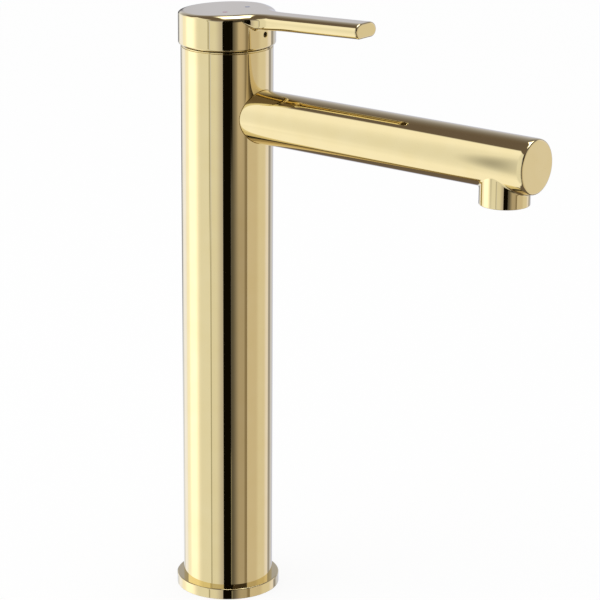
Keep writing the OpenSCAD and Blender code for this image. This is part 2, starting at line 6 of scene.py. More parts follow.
import itertools
import logging
import math
from collections.abc import Callable, Sequence
from dataclasses import dataclass, field
from enum import Enum

import bpy
import numpy as np
from mathutils import Matrix, Vector


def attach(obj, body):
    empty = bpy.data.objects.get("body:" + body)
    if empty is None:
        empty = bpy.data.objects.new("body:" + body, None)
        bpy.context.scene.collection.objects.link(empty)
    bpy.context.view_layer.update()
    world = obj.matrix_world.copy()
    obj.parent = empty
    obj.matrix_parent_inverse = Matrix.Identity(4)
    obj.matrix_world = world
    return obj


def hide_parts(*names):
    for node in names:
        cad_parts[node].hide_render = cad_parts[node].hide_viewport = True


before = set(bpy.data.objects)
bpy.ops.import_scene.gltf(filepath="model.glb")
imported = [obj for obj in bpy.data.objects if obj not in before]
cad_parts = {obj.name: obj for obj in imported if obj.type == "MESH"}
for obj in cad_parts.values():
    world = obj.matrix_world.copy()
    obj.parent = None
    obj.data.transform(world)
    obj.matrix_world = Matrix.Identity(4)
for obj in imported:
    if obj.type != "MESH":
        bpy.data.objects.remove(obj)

# One millimetre in metres
MM = 0.001
# Vertices round a turned piece, and their angles in radians
TURN_STEPS = 240
TURNS = [2 * math.pi * k / TURN_STEPS for k in range(TURN_STEPS)]
# The side of a handling smudge that varies the gloss, in millimetres
SMUDGE = 14.0
# Scale of a wave texture that sets its bands one unit apart
WAVE_UNIT = 0.314
# Scale of a drawn tube's pattern along the tube, which draws its die lines out fifty times
DIE_STRETCH = 0.02
# The span in which most values of a noise texture lie
NOISE_SPAN = (0.3, 0.7)
# Decimals of a millimetre to which two profile points count as one
SAME_POINT = 5
# Keeps a divisor off zero
TINY = 1e-6
log = logging.getLogger("basin_mixer")

Vec = tuple[float, float, float]
Flat = tuple[float, float]
Tree = bpy.types.NodeTree
Socket = bpy.types.NodeSocket


# ---------------------------------------------------------------- colours and nodes


def linear(hex_colour: str) -> tuple[float, float, float, float]:
    """Turns an sRGB hex colour into linear RGBA.

    Args:
        hex_colour: a colour such as "#F6E7B6".

    Returns:
        Linear red, green and blue, with alpha 1.
    """
    channels = [int(hex_colour[i : i + 2], 16) / 255 for i in (1, 3, 5)]
    # The sRGB curve, which is straight near black
    red, green, blue = (
        c / 12.92 if c <= 0.04045 else ((c + 0.055) / 1.055) ** 2.4 for c in channels
    )
    return red, green, blue, 1.0


def fresh_tree(owner: bpy.types.Material | bpy.types.World) -> Tree:
    """Gives a material or world an empty node tree.

    Args:
        owner: what the nodes are for.

    Returns:
        The tree.
    """
    owner.use_nodes = True
    owner.node_tree.nodes.clear()
    return owner.node_tree


def add_node(
    tree: Tree,
    kind: str,
    inputs: dict[str | int, object] | None = None,
    **settings: object,
) -> bpy.types.Node:
    """Adds a node, sets it up and links what feeds it.

    Args:
        tree: the node tree it goes into.
        kind: Blender's name for the node type.
        inputs: socket name or number to a value, or to the output socket that feeds it.
        **settings: attributes of the node itself.

    Returns:
        The new node.
    """
    node = tree.nodes.new(kind)
    for key, value in settings.items():
        setattr(node, key, value)
    for key, value in (inputs or {}).items():
        if isinstance(value, Socket):
            tree.links.new(value, node.inputs[key])
        else:
            node.inputs[key].default_value = value
    return node


# ---------------------------------------------------------------- finishes


class Surface(Enum):
    """How a piece's surface was made."""

    POLISHED = "polished"
    TURNED = "turned"
    DRAWN = "drawn"
    MOULDED = "moulded"
    LAPPED = "lapped"
    FILLED = "filled"


@dataclass(frozen=True)
class Finish:
    """A real material with the marks its making left.

    pitch is the distance between marks and depth their height, both in millimetres, and tint is
    the colour that the marks turn to. Marks too fine to show are drawn coarser, as the finish's
    comment says. All keep the shader's own IOR of 1.5, which is near that of enamel, rubber and
    acetal. Alumina's is 1.77, but its discs are never seen inside the cartridge.
    """

    name: str
    colour: str
    surface: Surface
    metallic: float
    roughness: float
    pitch: float
    depth: float
    roughness_spread: float = 0.0
    tint: str | None = None
    coat: float = 0.0
    coat_roughness: float = 0.08
    subsurface: float = 0.0
    subsurface_depth: float = 1.5

    def material(self) -> bpy.types.Material:
        """Builds the material the first time it is asked for.

        Returns:
            The material.
        """
        made = bpy.data.materials.get(self.name)
        if made:
            return made
        made = bpy.data.materials.new(self.name)
        tree = fresh_tree(made)
        place = add_node(tree, "ShaderNodeTexCoord").outputs["Object"]
        marks = self._marks(tree, place)
        smudge = add_node(
            tree,
            "ShaderNodeTexNoise",
            {"Vector": place, "Scale": 1 / (SMUDGE * MM), "Detail": 4.0, "Roughness": 0.6},
        ).outputs["Fac"]
        rough = add_node(
            tree,
            "ShaderNodeMapRange",
            {
                "Value": smudge,
                "From Min": NOISE_SPAN[0],
                "From Max": NOISE_SPAN[1],
                "To Min": max(0.0, self.roughness - self.roughness_spread),
                "To Max": self.roughness + self.roughness_spread,
            },
        ).outputs["Result"]
        colour = add_node(
            tree,
            "ShaderNodeMix",
            {0: marks, 6: linear(self.colour), 7: linear(self.tint or self.colour)},
            data_type="RGBA",
        ).outputs[2]
        bump = add_node(
            tree,
            "ShaderNodeBump",
            {"Height": marks, "Distance": self.depth * MM, "Strength": 1.0},
        ).outputs["Normal"]
        shader = add_node(
            tree,
            "ShaderNodeBsdfPrincipled",
            {
                "Base Color": colour,
                "Roughness": rough,
                "Normal": bump,
                "Metallic": self.metallic,
                "Coat Weight": self.coat,
                "Coat Roughness": self.coat_roughness,
                "Subsurface Weight": self.subsurface,
                "Subsurface Scale": self.subsurface_depth * MM,
            },
        )
        add_node(tree, "ShaderNodeOutputMaterial", {"Surface": shader.outputs["BSDF"]})
        return made

    def _marks(self, tree: Tree, place: Socket) -> Socket:
        """Draws the making marks.

        Args:
            tree: the material's nodes.
            place: position on the piece, in metres.

        Returns:
            A socket from 0 to 1 that carries the pattern.
        """
        if self.surface is Surface.TURNED:
            # Tool rings climb the axis, broken up a little by chatter
            return add_node(
                tree,
                "ShaderNodeTexWave",
                {
                    "Vector": place,
                    "Scale": WAVE_UNIT / (self.pitch * MM),
                    "Distortion": 0.6,
                    "Detail": 2.0,
                    "Detail Scale": 1.5,
                },
                wave_type="BANDS",
                bands_direction="Z",
            ).outputs["Fac"]
        if self.surface is Surface.DRAWN:
            # Die lines run along the tube
            stretched = add_node(
                tree, "ShaderNodeMapping", {"Vector": place, "Scale": (1.0, 1.0, DIE_STRETCH)}
            ).outputs["Vector"]
            return add_node(
                tree,
                "ShaderNodeTexNoise",
                {"Vector": stretched, "Scale": 1 / (self.pitch * MM), "Detail": 2.0},
            ).outputs["Fac"]
        if self.surface is Surface.LAPPED:
            # Fine grains, cut flat
            return add_node(
                tree,
                "ShaderNodeTexVoronoi",
                {"Vector": place, "Scale": 1 / (self.pitch * MM)},
            ).outputs["Distance"]
        # A slow waviness where it is polished, a fine mottle where it is moulded or filled
        detail = 1.0 if self.surface is Surface.POLISHED else 5.0
        return add_node(
            tree,
            "ShaderNodeTexNoise",
            {"Vector": place, "Scale": 1 / (self.pitch * MM), "Detail": detail},
        ).outputs["Fac"]


# Pale gold laid on polished brass in a vacuum chamber: a mirror, faintly wavy from the buff
GOLD = Finish(
    "Pale_gold_PVD_on_polished_brass", "#F6E7B6", Surface.POLISHED,
    metallic=1.0, roughness=0.035, roughness_spread=0.012, pitch=9.0, depth=0.0012, tint="#F3E2AC",
)
# Free-cutting brass straight from the lathe: satin, with fine tool rings. The tool leaves them
# about 0.1 mm apart, and they are drawn coarser, so that they show
BRASS = Finish(
    "Machined_free_cutting_brass", "#C9A768", Surface.TURNED,
    metallic=1.0, roughness=0.28, roughness_spread=0.06, pitch=0.35, depth=0.004, tint="#BD9A5B",
)
# Drawn copper tube: soft sheen, lengthwise die lines, a little tarnish. The lines are about
# 0.1 mm apart, and are drawn coarser, so that they show
COPPER = Finish(
    "Drawn_copper_tube", "#C9825A", Surface.DRAWN,
    metallic=1.0, roughness=0.3, roughness_spread=0.08, pitch=0.5, depth=0.006, tint="#A96A48",
)
# Stainless steel, turned: cool grey, with rings finer than the brass has, drawn coarser as well
STEEL = Finish(
    "Turned_stainless_steel", "#B4B8BB", Surface.TURNED,
    metallic=1.0, roughness=0.24, roughness_spread=0.05, pitch=0.25, depth=0.003, tint="#A5A9AD",
)
# Nickel-plated brass ring of the aerator: smooth, a little duller than a mirror
NICKEL = Finish(
    "Nickel_plated_aerator_ring", "#C8C6C0", Surface.POLISHED,
    metallic=1.0, roughness=0.14, roughness_spread=0.03, pitch=4.0, depth=0.001, tint="#C0BDB6",
)
# Moulded nitrile rubber: near black, matt, faintly grainy. The mould's grain is under 0.1 mm,
# and is drawn coarser, so that it shows
RUBBER = Finish(
    "Moulded_nitrile_rubber", "#26262A", Surface.MOULDED,
    metallic=0.0, roughness=0.62, roughness_spread=0.08, pitch=0.4, depth=0.006, tint="#303034",
)
# Lapped alumina: cream white, very smooth. Its grains are a few thousandths of a millimetre, and
# are drawn far coarser, so that they just show
CERAMIC = Finish(
    "Lapped_alumina_ceramic", "#F2EEE4", Surface.LAPPED,
    metallic=0.0, roughness=0.18, roughness_spread=0.03, pitch=0.5, depth=0.0006, tint="#E9E4D8",
    subsurface=0.1,
)
# Moulded white acetal: waxy, with a slight mottle from its flow into the mould
WHITE_ACETAL = Finish(
    "Moulded_white_acetal", "#E6E5DF", Surface.MOULDED,
    metallic=0.0, roughness=0.4, roughness_spread=0.06, pitch=1.2, depth=0.004, tint="#DDDCD4",
    subsurface=0.15,
)
# Moulded grey acetal of the cartridge body: waxy too, a plain mid grey
GREY_ACETAL = Finish(
    "Moulded_grey_acetal", "#8E9397", Surface.MOULDED,
    metallic=0.0, roughness=0.42, roughness_spread=0.06, pitch=1.2, depth=0.004, tint="#858A8E",
)
# Enamel filled into the two small recesses, one red and one blue: glossy, slightly uneven
HOT_ENAMEL = Finish(
    "Filled_red_enamel", "#9A5A50", Surface.FILLED,
    metallic=0.0, roughness=0.2, roughness_spread=0.04, pitch=0.6, depth=0.01, tint="#9C5047",
    coat=0.5,
)
COLD_ENAMEL = Finish(
    "Filled_blue_enamel", "#46506E", Surface.FILLED,
    metallic=0.0, roughness=0.2, roughness_spread=0.04, pitch=0.6, depth=0.01, tint="#3C4663",
    coat=0.5,
)


# ---------------------------------------------------------------- meshes


def add_object(name: str, data: bpy.types.ID) -> bpy.types.Object:
    """Adds an object to the scene.

    Args:
        name: its name.
        data: its mesh, lamp or camera.

    Returns:
        The object.
    """
    made = bpy.data.objects.new(name, data)
    bpy.context.scene.collection.objects.link(made)
    return made


def add_sheet(
    name: str, across: Vector, rise: Vector, material: bpy.types.Material
) -> bpy.types.Object:
    """Adds a flat rectangle to the studio.

    Args:
        name: its name.
        across: from its middle to the middle of one side, in metres.
        rise: from its middle to the middle of the next side.
        material: what it is made of.

    Returns:
        The object.
    """
    mesh = bpy.data.meshes.new(name)
    ends = [across * u + rise * v for u, v in ((-1, -1), (1, -1), (1, 1), (-1, 1))]
    mesh.from_pydata(ends, [], [(0, 1, 2, 3)])
    mesh.materials.append(material)
    made = add_object(name, mesh)
    return made


@dataclass
class Shell:
    """A mesh in the making, with an exact normal at each face corner."""

    points: list[Vec] = field(default_factory=list)
    faces: list[list[int]] = field(default_factory=list)
    normals: list[Vec] = field(default_factory=list)

    def point(self, position: Sequence[float]) -> int:
        """Adds a vertex in millimetres and returns its number."""
        self.points.append(tuple(float(c) for c in position))
        return len(self.points) - 1

    def face(self, corners: Sequence[int], normals: Sequence[Sequence[float]]) -> None:
        """Adds a face, dropping repeated corners.

        Args:
            corners: vertex numbers, anticlockwise seen from outside.
            normals: the surface normal at each corner.
        """
        kept = [
            (c, n)
            for i, (c, n) in enumerate(zip(corners, normals))
            if c != corners[i - 1]
        ]
        if len(kept) > 2:
            self.faces.append([c for c, _ in kept])
            self.normals.extend(tuple(float(v) for v in n) for _, n in kept)

    def band(
        self,
        first: Sequence[int],
        second: Sequence[int],
        first_normals: Sequence[Sequence[float]],
        second_normals: Sequence[Sequence[float]],
    ) -> None:
        """Joins two closed rows of vertices, in step with each other, by a ring of faces.

        Args:
            first: vertex numbers of the first row.
            second: vertex numbers of the second row, to the left of the first.
            first_normals: the surface normal at each vertex of the first row.
            second_normals: the same for the second row.
        """
        for i in range(len(first)):
            j = (i + 1) % len(first)
            self.face(
                [first[i], first[j], second[j], second[i]],
                [first_normals[i], first_normals[j], second_normals[j], second_normals[i]],
            )

    def piece(
        self, name: str, finish: Finish, body: str, nodes: Sequence[str]
    ) -> bpy.types.Object:
        """Turns the shell into an object that stands for CAD nodes and rides on their body.

        Args:
            name: the object's name.
            finish: what it is made of.
            body: the moving body it belongs to.
            nodes: the CAD nodes it replaces.

        Returns:
            The object, in metres, in the shared frame.
        """
        mesh = bpy.data.meshes.new(name)
        mesh.from_pydata([tuple(c * MM for c in p) for p in self.points], [], self.faces)
        mesh.polygons.foreach_set("use_smooth", [True] * len(mesh.polygons))
        mesh.normals_split_custom_set(self.normals)
        mesh.validate(clean_customdata=False)
        mesh.update()
        made = add_object(name, mesh)
        mesh.materials.append(finish.material())
        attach(made, body)
        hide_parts(*nodes)
        log.info("%s: %d vertices, %s", name, len(self.points), finish.name)
        return made


@dataclass
class Profile:
    """An outline in the (radius, height) half plane, with the solid on its left.

    Each edge holds its two ends and the outward normals there.
    """

    start: Flat
    edges: list[tuple[Flat, Flat, Flat, Flat]] = field(default_factory=list)

    @property
    def end(self) -> Flat:
        """The last point drawn."""
        return self.edges[-1][1] if self.edges else self.start

    def line(self, radius: float, height: float) -> "Profile":
        """Draws a straight edge from the present end.

        Args:
            radius: the new end's radius.
            height: the new end's height.

        Returns:
            The profile itself.
        """
        step = (radius - self.end[0], height - self.end[1])
        size = math.hypot(*step)
        normal = (step[1] / size, -step[0] / size)
        self.edges.append((self.end, (radius, height), normal, normal))
        return self

    def arc(
        self, centre: Flat, radius: float, start: float, end: float, steps: int = 8
    ) -> "Profile":
        """Draws an arc from the present end.

        Args:
            centre: the arc's centre.
            radius: its radius.
            start: its first angle in degrees.
            end: its last angle; a smaller one makes a hollow corner.
            steps: how many edges it gets.

        Returns:
            The profile itself.
        """
        side = 1 if end > start else -1
        for i in range(steps):
            turn = [math.radians(start + (end - start) * k / steps) for k in (i, i + 1)]
            at = [
                (centre[0] + radius * math.cos(t), centre[1] + radius * math.sin(t)) for t in turn
            ]
            normal = [(side * math.cos(t), side * math.sin(t)) for t in turn]
            self.edges.append((self.end if i == 0 else at[0], at[1], normal[0], normal[1]))
        return self

    def close(self) -> "Profile":
        """Draws back to the first point."""
        return self.line(*self.start)


@dataclass(frozen=True)
class Placing:
    """Where a turned piece's axis lies: its foot, its direction and that of the first radius."""

    foot: Vec = (0.0, 0.0, 0.0)
    along: Vec = (0.0, 0.0, 1.0)
    across: Vec = (1.0, 0.0, 0.0)

    def at(self, radius: float, height: float, turn: float) -> np.ndarray:
        """The position of a profile point at an angle in radians."""
        return np.array(self.foot) + np.array(self.along) * height + self.spoke(turn) * radius

    def spoke(self, turn: float) -> np.ndarray:
        """The outward direction at an angle in radians."""
        third = np.cross(self.along, self.across)
        return np.array(self.across) * math.cos(turn) + third * math.sin(turn)

    def normals(self, flat: Flat, turns: Sequence[float]) -> list[np.ndarray]:
        """A profile's normal, turned to each of several angles in radians."""
        return [self.spoke(t) * flat[0] + np.array(self.along) * flat[1] for t in turns]


UPRIGHT = Placing()


def revolve(
    profile: Profile,
    placing: Placing = UPRIGHT,
    shift: Callable[[np.ndarray], np.ndarray] | None = None,
) -> Shell:
    """Turns a profile round its axis.

    Args:
        profile: the outline, closed or with both ends on the axis.
        placing: where the axis lies.
        shift: moves each finished point, to cope an end.

    Returns:
        The shell, with true normals.
    """
    shell = Shell()
    rows: dict[Flat, list[int]] = {}

    def row(at: Flat) -> list[int]:
        """Finds or makes the vertices of one profile point, all round.

        Args:
            at: the point's radius and height.

        Returns:
            One vertex number for each turn, all the same on the axis.
        """
        key = (round(at[0], SAME_POINT), round(at[1], SAME_POINT))
        if key not in rows:
            spots = [placing.at(*at, t) for t in (TURNS if key[0] > 0 else TURNS[:1])]
            numbers = [shell.point(shift(p) if shift else p) for p in spots]
            rows[key] = numbers if len(numbers) > 1 else numbers * TURN_STEPS
        return rows[key]

    for low, high, flat_low, flat_high in profile.edges:
        shell.band(
            row(low), row(high), placing.normals(flat_low, TURNS), placing.normals(flat_high, TURNS)
        )
    return shell


def turn_between(
    shell: Shell,
    profile: Profile,
    first: list[int],
    last: list[int],
    turns: Sequence[float],
) -> None:
    """Turns a profile round the column's axis, between two rows that are there already.

    Args:
        shell: the shell it goes into.
        profile: the outline, from the first row to the last one.
        first: vertex numbers of the row it starts from.
        last: vertex numbers of the row it ends on.
        turns: the rows' angles in radians.
    """
    row = first
    for edge in profile.edges:
        _, high, flat_low, flat_high = edge
        new = edge is not profile.edges[-1]
        upper = [shell.point(UPRIGHT.at(*high, t)) for t in turns] if new else last
        shell.band(row, upper, UPRIGHT.normals(flat_low, turns), UPRIGHT.normals(flat_high, turns))
        row = upper


# ---------------------------------------------------------------- column and base


@dataclass
class Flange:
    """The foot's flange, with a recess for the gasket below and a spigot into the column."""

    radius: float = 25.9
    height: float = 5.4
    edge: float = 0.6
    foot_edge: float = 0.25
    gasket_inner: float = 19.95
    gasket_outer: float = 24.45
    gasket_depth: float = 1.55
    spigot: float = 19.45
    spigot_bore: float = 17.85
    spigot_height: float = 2.6

    def shell(self) -> Shell:
        """Turns the flange.

        Returns:
            The flange's shell.
        """
        r, h, edge, foot = self.radius, self.height, self.edge, self.foot_edge
        p = Profile((self.spigot_bore, 0.0)).line(self.gasket_inner, 0.0)
        p.line(self.gasket_inner, self.gasket_depth).line(self.gasket_outer, self.gasket_depth)
        p.line(self.gasket_outer, 0.0).line(r - foot, 0.0)
        p.arc((r - foot, foot), foot, -90, 0, steps=5)
        p.line(r, h - edge).arc((r - edge, h - edge), edge, 0, 90, steps=10)
        p.line(self.spigot, h).line(self.spigot, h + self.spigot_height)
        return revolve(p.line(self.spigot_bore, h + self.spigot_height).close())


@dataclass
class CoverRing:
    """The thin domed ring that closes the column's mouth under the handle.

    Pairs of heights are the underside's and the upper side's.
    """

    skirt: float = 21.1
    skirt_bore: float = 20.15
    skirt_z: tuple[float, float] = (276.5, 279.1)
    brim: float = 21.95
    brim_z: tuple[float, float] = (278.9, 279.15)
    brim_edge: float = 0.3
    brim_turn: float = 70.0
    shoulder: float = 18.0
    shoulder_z: tuple[float, float] = (279.52, 280.55)
    mouth: float = 13.5
    mouth_z: tuple[float, float] = (280.5, 281.5)

    def shell(self) -> Shell:
        """Turns the ring.

        Returns:
            The ring's shell.
        """
        bottom, inner_top = self.skirt_z
        seat, edge_z = self.brim_z
        p = Profile((self.skirt, bottom)).line(self.skirt, seat).line(self.brim, seat)
        p.line(self.brim, edge_z)
        p.arc((self.brim - self.brim_edge, edge_z), self.brim_edge, 0, self.brim_turn, steps=6)
        p.line(self.shoulder, self.shoulder_z[1]).line(self.mouth, self.mouth_z[1])
        p.line(self.mouth, self.mouth_z[0]).line(self.shoulder, self.shoulder_z[0])
        return revolve(p.line(self.skirt_bore, inner_top).line(self.skirt_bore, bottom).close())


@dataclass
class Column:
    """The upright body: flange, tube with the spout's hole, and cover ring.

    The patch is the part of the wall round the hole, where its grid of faces gives way to rings.
    """

    # Tube
    radius: float = 22.5
    bottom: float = 5.4
    top: float = 278.9
    edge: float = 0.45
    bore: float = 19.5
    seat: float = 20.0
    seat_bottom: float = 219.93
    lip: float = 21.2
    lip_bottom: float = 275.52
    # The spout's hole and the patch of wall round it
    hole: float = 13.06
    hole_edge: float = 0.28
    hole_steps: int = 4
    spout_z: float = 246.6
    patch_turn: float = 60.0
    patch_rise: float = 19.5
    patch_rows: int = 26
    patch_rings: int = 12
    patch_crowding: float = 0.8

    def build(self) -> None:
        """Makes every piece of the column."""
        flange = Flange(height=self.bottom).shell()
        flange.piece("Base_flange", GOLD, "body", ["base_flange"])
        self._tube().piece("Column_tube", GOLD, "body", ["column"])
        CoverRing().shell().piece("Cover_ring", GOLD, "body", ["cover_ring"])

    def _wall(
        self, shell: Shell, radius: float, levels: list[float], outward: bool
    ) -> tuple[list[int], list[int], list[int]]:
        """Makes a tube wall with a round hole punched square to its front.

        Args:
            shell: the shell it goes into.
            radius: the wall's radius.
            levels: its heights, from bottom to top, with the patch's rows among them.
            outward: True for the outside wall, False for the bore.

        Returns:
            Vertex numbers of the bottom row, the top row and the hole's edge.
        """
        half = round(self.patch_turn / 360 * TURN_STEPS)
        low, high = (levels.index(self.spout_z + side * self.patch_rise) for side in (-1, 1))
        sign = 1 if outward else -1
        # Every point of the wall, apart from those inside the patch
        inner = {
            (k % TURN_STEPS, row)
            for k in range(-half + 1, half)
            for row in range(low + 1, high)
        }
        grid = {
            (k, row): shell.point((radius * math.cos(t), radius * math.sin(t), level))
            for row, level in enumerate(levels)
            for k, t in enumerate(TURNS)
            if (k, row) not in inner
        }

        def spread(corners: list[int]) -> None:
            """Adds one face with the wall's own normals.

            Args:
                corners: vertex numbers, anticlockwise seen from outside the column.
            """
            corners = corners if outward else corners[::-1]
            sides = [shell.points[c][:2] for c in corners]
            shell.face(corners, [(sign * x / radius, sign * y / radius, 0) for x, y in sides])

        for row in range(len(levels) - 1):
            for k in range(TURN_STEPS):
                j = (k + 1) % TURN_STEPS
                within = (k < half or k >= TURN_STEPS - half) and low <= row < high
                if not within:
                    spread([grid[k, row], grid[j, row], grid[j, row + 1], grid[k, row + 1]])
        # The patch's border, anticlockwise from its lower left corner
        border = [(k % TURN_STEPS, low) for k in range(-half, half)]
        border += [(half, row) for row in range(low, high)]
        border += [(k % TURN_STEPS, high) for k in range(half, -half, -1)]
        border += [(-half % TURN_STEPS, row) for row in range(high, low, -1)]
        edge = self.hole + (self.hole_edge if outward else 0)
        rings = [[grid[b] for b in border]]
        for step in range(1, self.patch_rings + 1):
            share = (step / self.patch_rings) ** self.patch_crowding
            ring = []
            for number in rings[0]:
                _, y, z = shell.points[number]
                way = math.atan2(z - self.spout_z, y)
                y1 = y + (edge * math.cos(way) - y) * share
                z1 = z + (self.spout_z + edge * math.sin(way) - z) * share
                ring.append(shell.point((math.sqrt(radius**2 - y1**2), y1, z1)))
            rings.append(ring)
        for far, near in zip(rings, rings[1:]):
            for i in range(len(far)):
                j = (i + 1) % len(far)
                spread([far[i], far[j], near[j], near[i]])
        ends = [[grid[k, row] for k in range(TURN_STEPS)] for row in (0, len(levels) - 1)]
        return ends[0], ends[1], rings[-1]

    def _tube(self) -> Shell:
        """Makes the column's tube, closed all round, with a softened mouth and spout hole.

        Returns:
            The tube's shell.
        """
        shell = Shell()
        low, high = self.spout_z - self.patch_rise, self.spout_z + self.patch_rise
        between = [
            low + 2 * self.patch_rise * i / self.patch_rows for i in range(1, self.patch_rows)
        ]
        rows = [low, *between, high]
        rim = self.top - self.edge
        outside = self._wall(shell, self.radius, [self.bottom, *rows, rim], True)
        inside = self._wall(shell, self.seat, [self.seat_bottom, *rows, self.lip_bottom], False)
        # The rounded mouth, the lip round the cover ring and the ledge below it
        mouth = Profile((self.radius, rim))
        mouth.arc((self.radius - self.edge, rim), self.edge, 0, 90, steps=6)
        mouth.line(self.lip, self.top).line(self.lip, self.lip_bottom)
        mouth.line(self.seat, self.lip_bottom)
        turn_between(shell, mouth, outside[1], inside[1], TURNS)
        # The step under the cartridge seat, the long bore and the foot's flat
        foot = Profile((self.seat, self.seat_bottom)).line(self.bore, self.seat_bottom)
        foot.line(self.bore, self.bottom).line(self.radius, self.bottom)
        turn_between(shell, foot, inside[0], outside[0], TURNS)
        self._hole(shell, outside[2], inside[2])
        return shell

    def _hole(self, shell: Shell, outer: list[int], inner: list[int]) -> None:
        """Makes the rounded edge of the spout's hole and its straight wall.

        Args:
            shell: the shell it goes into.
            outer: vertex numbers round the hole in the outside wall.
            inner: the same in the bore.
        """
        ways = [
            math.atan2(shell.points[n][2] - self.spout_z, shell.points[n][1]) for n in outer
        ]

        def normals(turn: float) -> list[np.ndarray]:
            """Finds the normals all round one row of the rounded edge.

            Args:
                turn: how far the edge has turned in, from the outside wall at 0 to a right angle.

            Returns:
                One unit normal for each vertex.
            """
            made = []
            for number, way in zip(outer, ways):
                x, y, _ = shell.points[number]
                out = np.array([x, y, 0]) / self.radius
                wall = -np.array([0, math.cos(way), math.sin(way)])
                mixed = out * math.cos(turn) + wall * math.sin(turn)
                made.append(mixed / np.linalg.norm(mixed))
            return made

        row, done = outer, normals(0.0)
        for step in range(1, self.hole_steps + 1):
            turn = step / self.hole_steps * math.pi / 2
            upper = []
            for way in ways:
                radius = self.hole + self.hole_edge * (1 - math.sin(turn))
                y, z = radius * math.cos(way), radius * math.sin(way)
                x = math.sqrt(self.radius**2 - y**2) - self.hole_edge * (1 - math.cos(turn))
                upper.append(shell.point((x, y, self.spout_z + z)))
            following = normals(turn)
            shell.band(row, upper, done, following)
            row, done = upper, following
        shell.band(row, inner, done, done)


# ---------------------------------------------------------------- spout


@dataclass
class Spout:
    """The level round spout: tube, closed end and the blended outlet nozzle.

    The roll is the slow curve by which the wall leans in before the end's rim.
    """

    # Tube
    axis_z: float = 246.6
    radius: float = 13.0
    bore: float = 11.5
    cope: float = 20.05
    # Closed end
    cap_start: float = 177.0
    end: float = 179.5
    roll: float = 12.0
    lean: float = 9.5
    rim: float = 1.1
    plug_gap: float = 0.05
    plug_depth: float = 4.0
    # Outlet nozzle, which tucks its upper edge into the tube
    nozzle_x: float = 162.4
    nozzle_radius: float = 11.8
    nozzle_bottom: float = 226.8
    nozzle_bore: float = 10.65
    seat_z: float = 233.3
    lip: float = 0.35
    lip_steps: int = 4
    blend: float = 1.6
    blend_steps: int = 8
    tuck: float = 0.6

    def build(self) -> None:
        """Makes the spout's three skins."""
        self._tube().piece("Spout_tube", GOLD, "body", ["spout_tube"])
        self._end_cap().piece("Spout_end_cap", GOLD, "body", ["spout_end_cap"])
        self._nozzle().piece("Outlet_nozzle", GOLD, "body", ["outlet_nozzle"])

    @property
    def placing(self) -> Placing:
        """The spout's own axis, along +X."""
        return Placing((0.0, 0.0, self.axis_z), (1.0, 0.0, 0.0), (0.0, 1.0, 0.0))

    @property
    def roll_start(self) -> float:
        """Where the wall starts to roll in towards the softened end."""
        return self.end - self.rim - (self.roll - self.rim) * math.sin(math.radians(self.lean))

    @property
    def roll_centre(self) -> Flat:
        """The centre of that slow roll, in the profile plane."""
        return self.radius - self.roll, self.roll_start

    @property
    def seam_lean(self) -> float:
        """How far the wall leans in, in degrees, where the tube meets its cap."""
        return math.degrees(math.asin((self.cap_start - self.roll_start) / self.roll))

    def _tube(self) -> Shell:
        """Makes the tube, coped to the cartridge housing inside the column.

        Returns:
            The tube's shell.
        """
        p = Profile((self.bore, self.cap_start)).line(self.bore, 0.0).line(self.radius, 0.0)
        p.line(self.radius, self.roll_start)
        p.arc(self.roll_centre, self.roll, 0, self.seam_lean, steps=4).close()

        def coped(spot: np.ndarray) -> np.ndarray:
            """Moves a point of the root out to the housing, and leaves the others.

            Args:
                spot: the point as turned.

            Returns:
                The point in its place.
            """
            if spot[0] < 1:
                spot[0] = math.sqrt(self.cope**2 - spot[1] ** 2)
            return spot

        return revolve(p, self.placing, coped)

    def _end_cap(self) -> Shell:
        """Makes the disc that closes the spout, with its softened rim and plug.

        Returns:
            The cap's shell.
        """
        plug, plug_end = self.bore - self.plug_gap, self.cap_start - self.plug_depth
        lean, seam = math.radians(self.lean), math.radians(self.seam_lean)
        centre, inner = self.roll_centre, self.roll - self.rim
        p = Profile((0.0, plug_end)).line(plug, plug_end).line(plug, self.cap_start)
        p.line(centre[0] + self.roll * math.cos(seam), self.cap_start)
        p.arc(centre, self.roll, self.seam_lean, self.lean, steps=12)
        rim_centre = (centre[0] + inner * math.cos(lean), centre[1] + inner * math.sin(lean))
        p.arc(rim_centre, self.rim, self.lean, 90, steps=16).line(0.0, self.end)
        return revolve(p, self.placing)

    def _nozzle(self) -> Shell:
        """Makes the nozzle, with a rolling-ball blend into the spout's underside.

        Returns:
            The nozzle's shell.
        """
        shell = Shell()
        sections = [self._nozzle_section(turn) for turn in TURNS]
        numbers = [[shell.point(spot) for spot, _ in section] for section in sections]
        count = len(sections[0])
        for i in range(count):
            rows = [[line[n] for line in numbers] for n in (i, (i + 1) % count)]
            normals = [[line[n][1] for line in sections] for n in (i, (i + 1) % count)]
            shell.band(*rows, *normals)
        return shell

    def _nozzle_section(self, turn: float) -> list[tuple[np.ndarray, np.ndarray]]:
        """Draws one upright section of the nozzle's wall.

        Args:
            turn: its angle round the outlet's axis, in radians.

        Returns:
            Points with their normals, from the bore round the lip and up to the spout.
        """
        way, down = np.array([math.cos(turn), math.sin(turn), 0.0]), np.array([0, 0, -1.0])
        foot = np.array([self.nozzle_x, 0, 0])
        lip, low = self.lip, np.array([0, 0, self.nozzle_bottom + self.lip])
        line = [
            (foot + way * self.nozzle_bore + np.array([0, 0, self.seat_z]), -way),
            (foot + way * self.nozzle_bore + low, -way),
        ]
        quarter = [i / self.lip_steps * math.pi / 2 for i in range(self.lip_steps + 1)]
        for t in quarter[1:]:
            aim = -way * math.cos(t) + down * math.sin(t)
            line.append((foot + way * (self.nozzle_bore + lip) + low + aim * lip, aim))
        for t in quarter:
            aim = way * math.sin(t) + down * math.cos(t)
            line.append((foot + way * (self.nozzle_radius - lip) + low + aim * lip, aim))
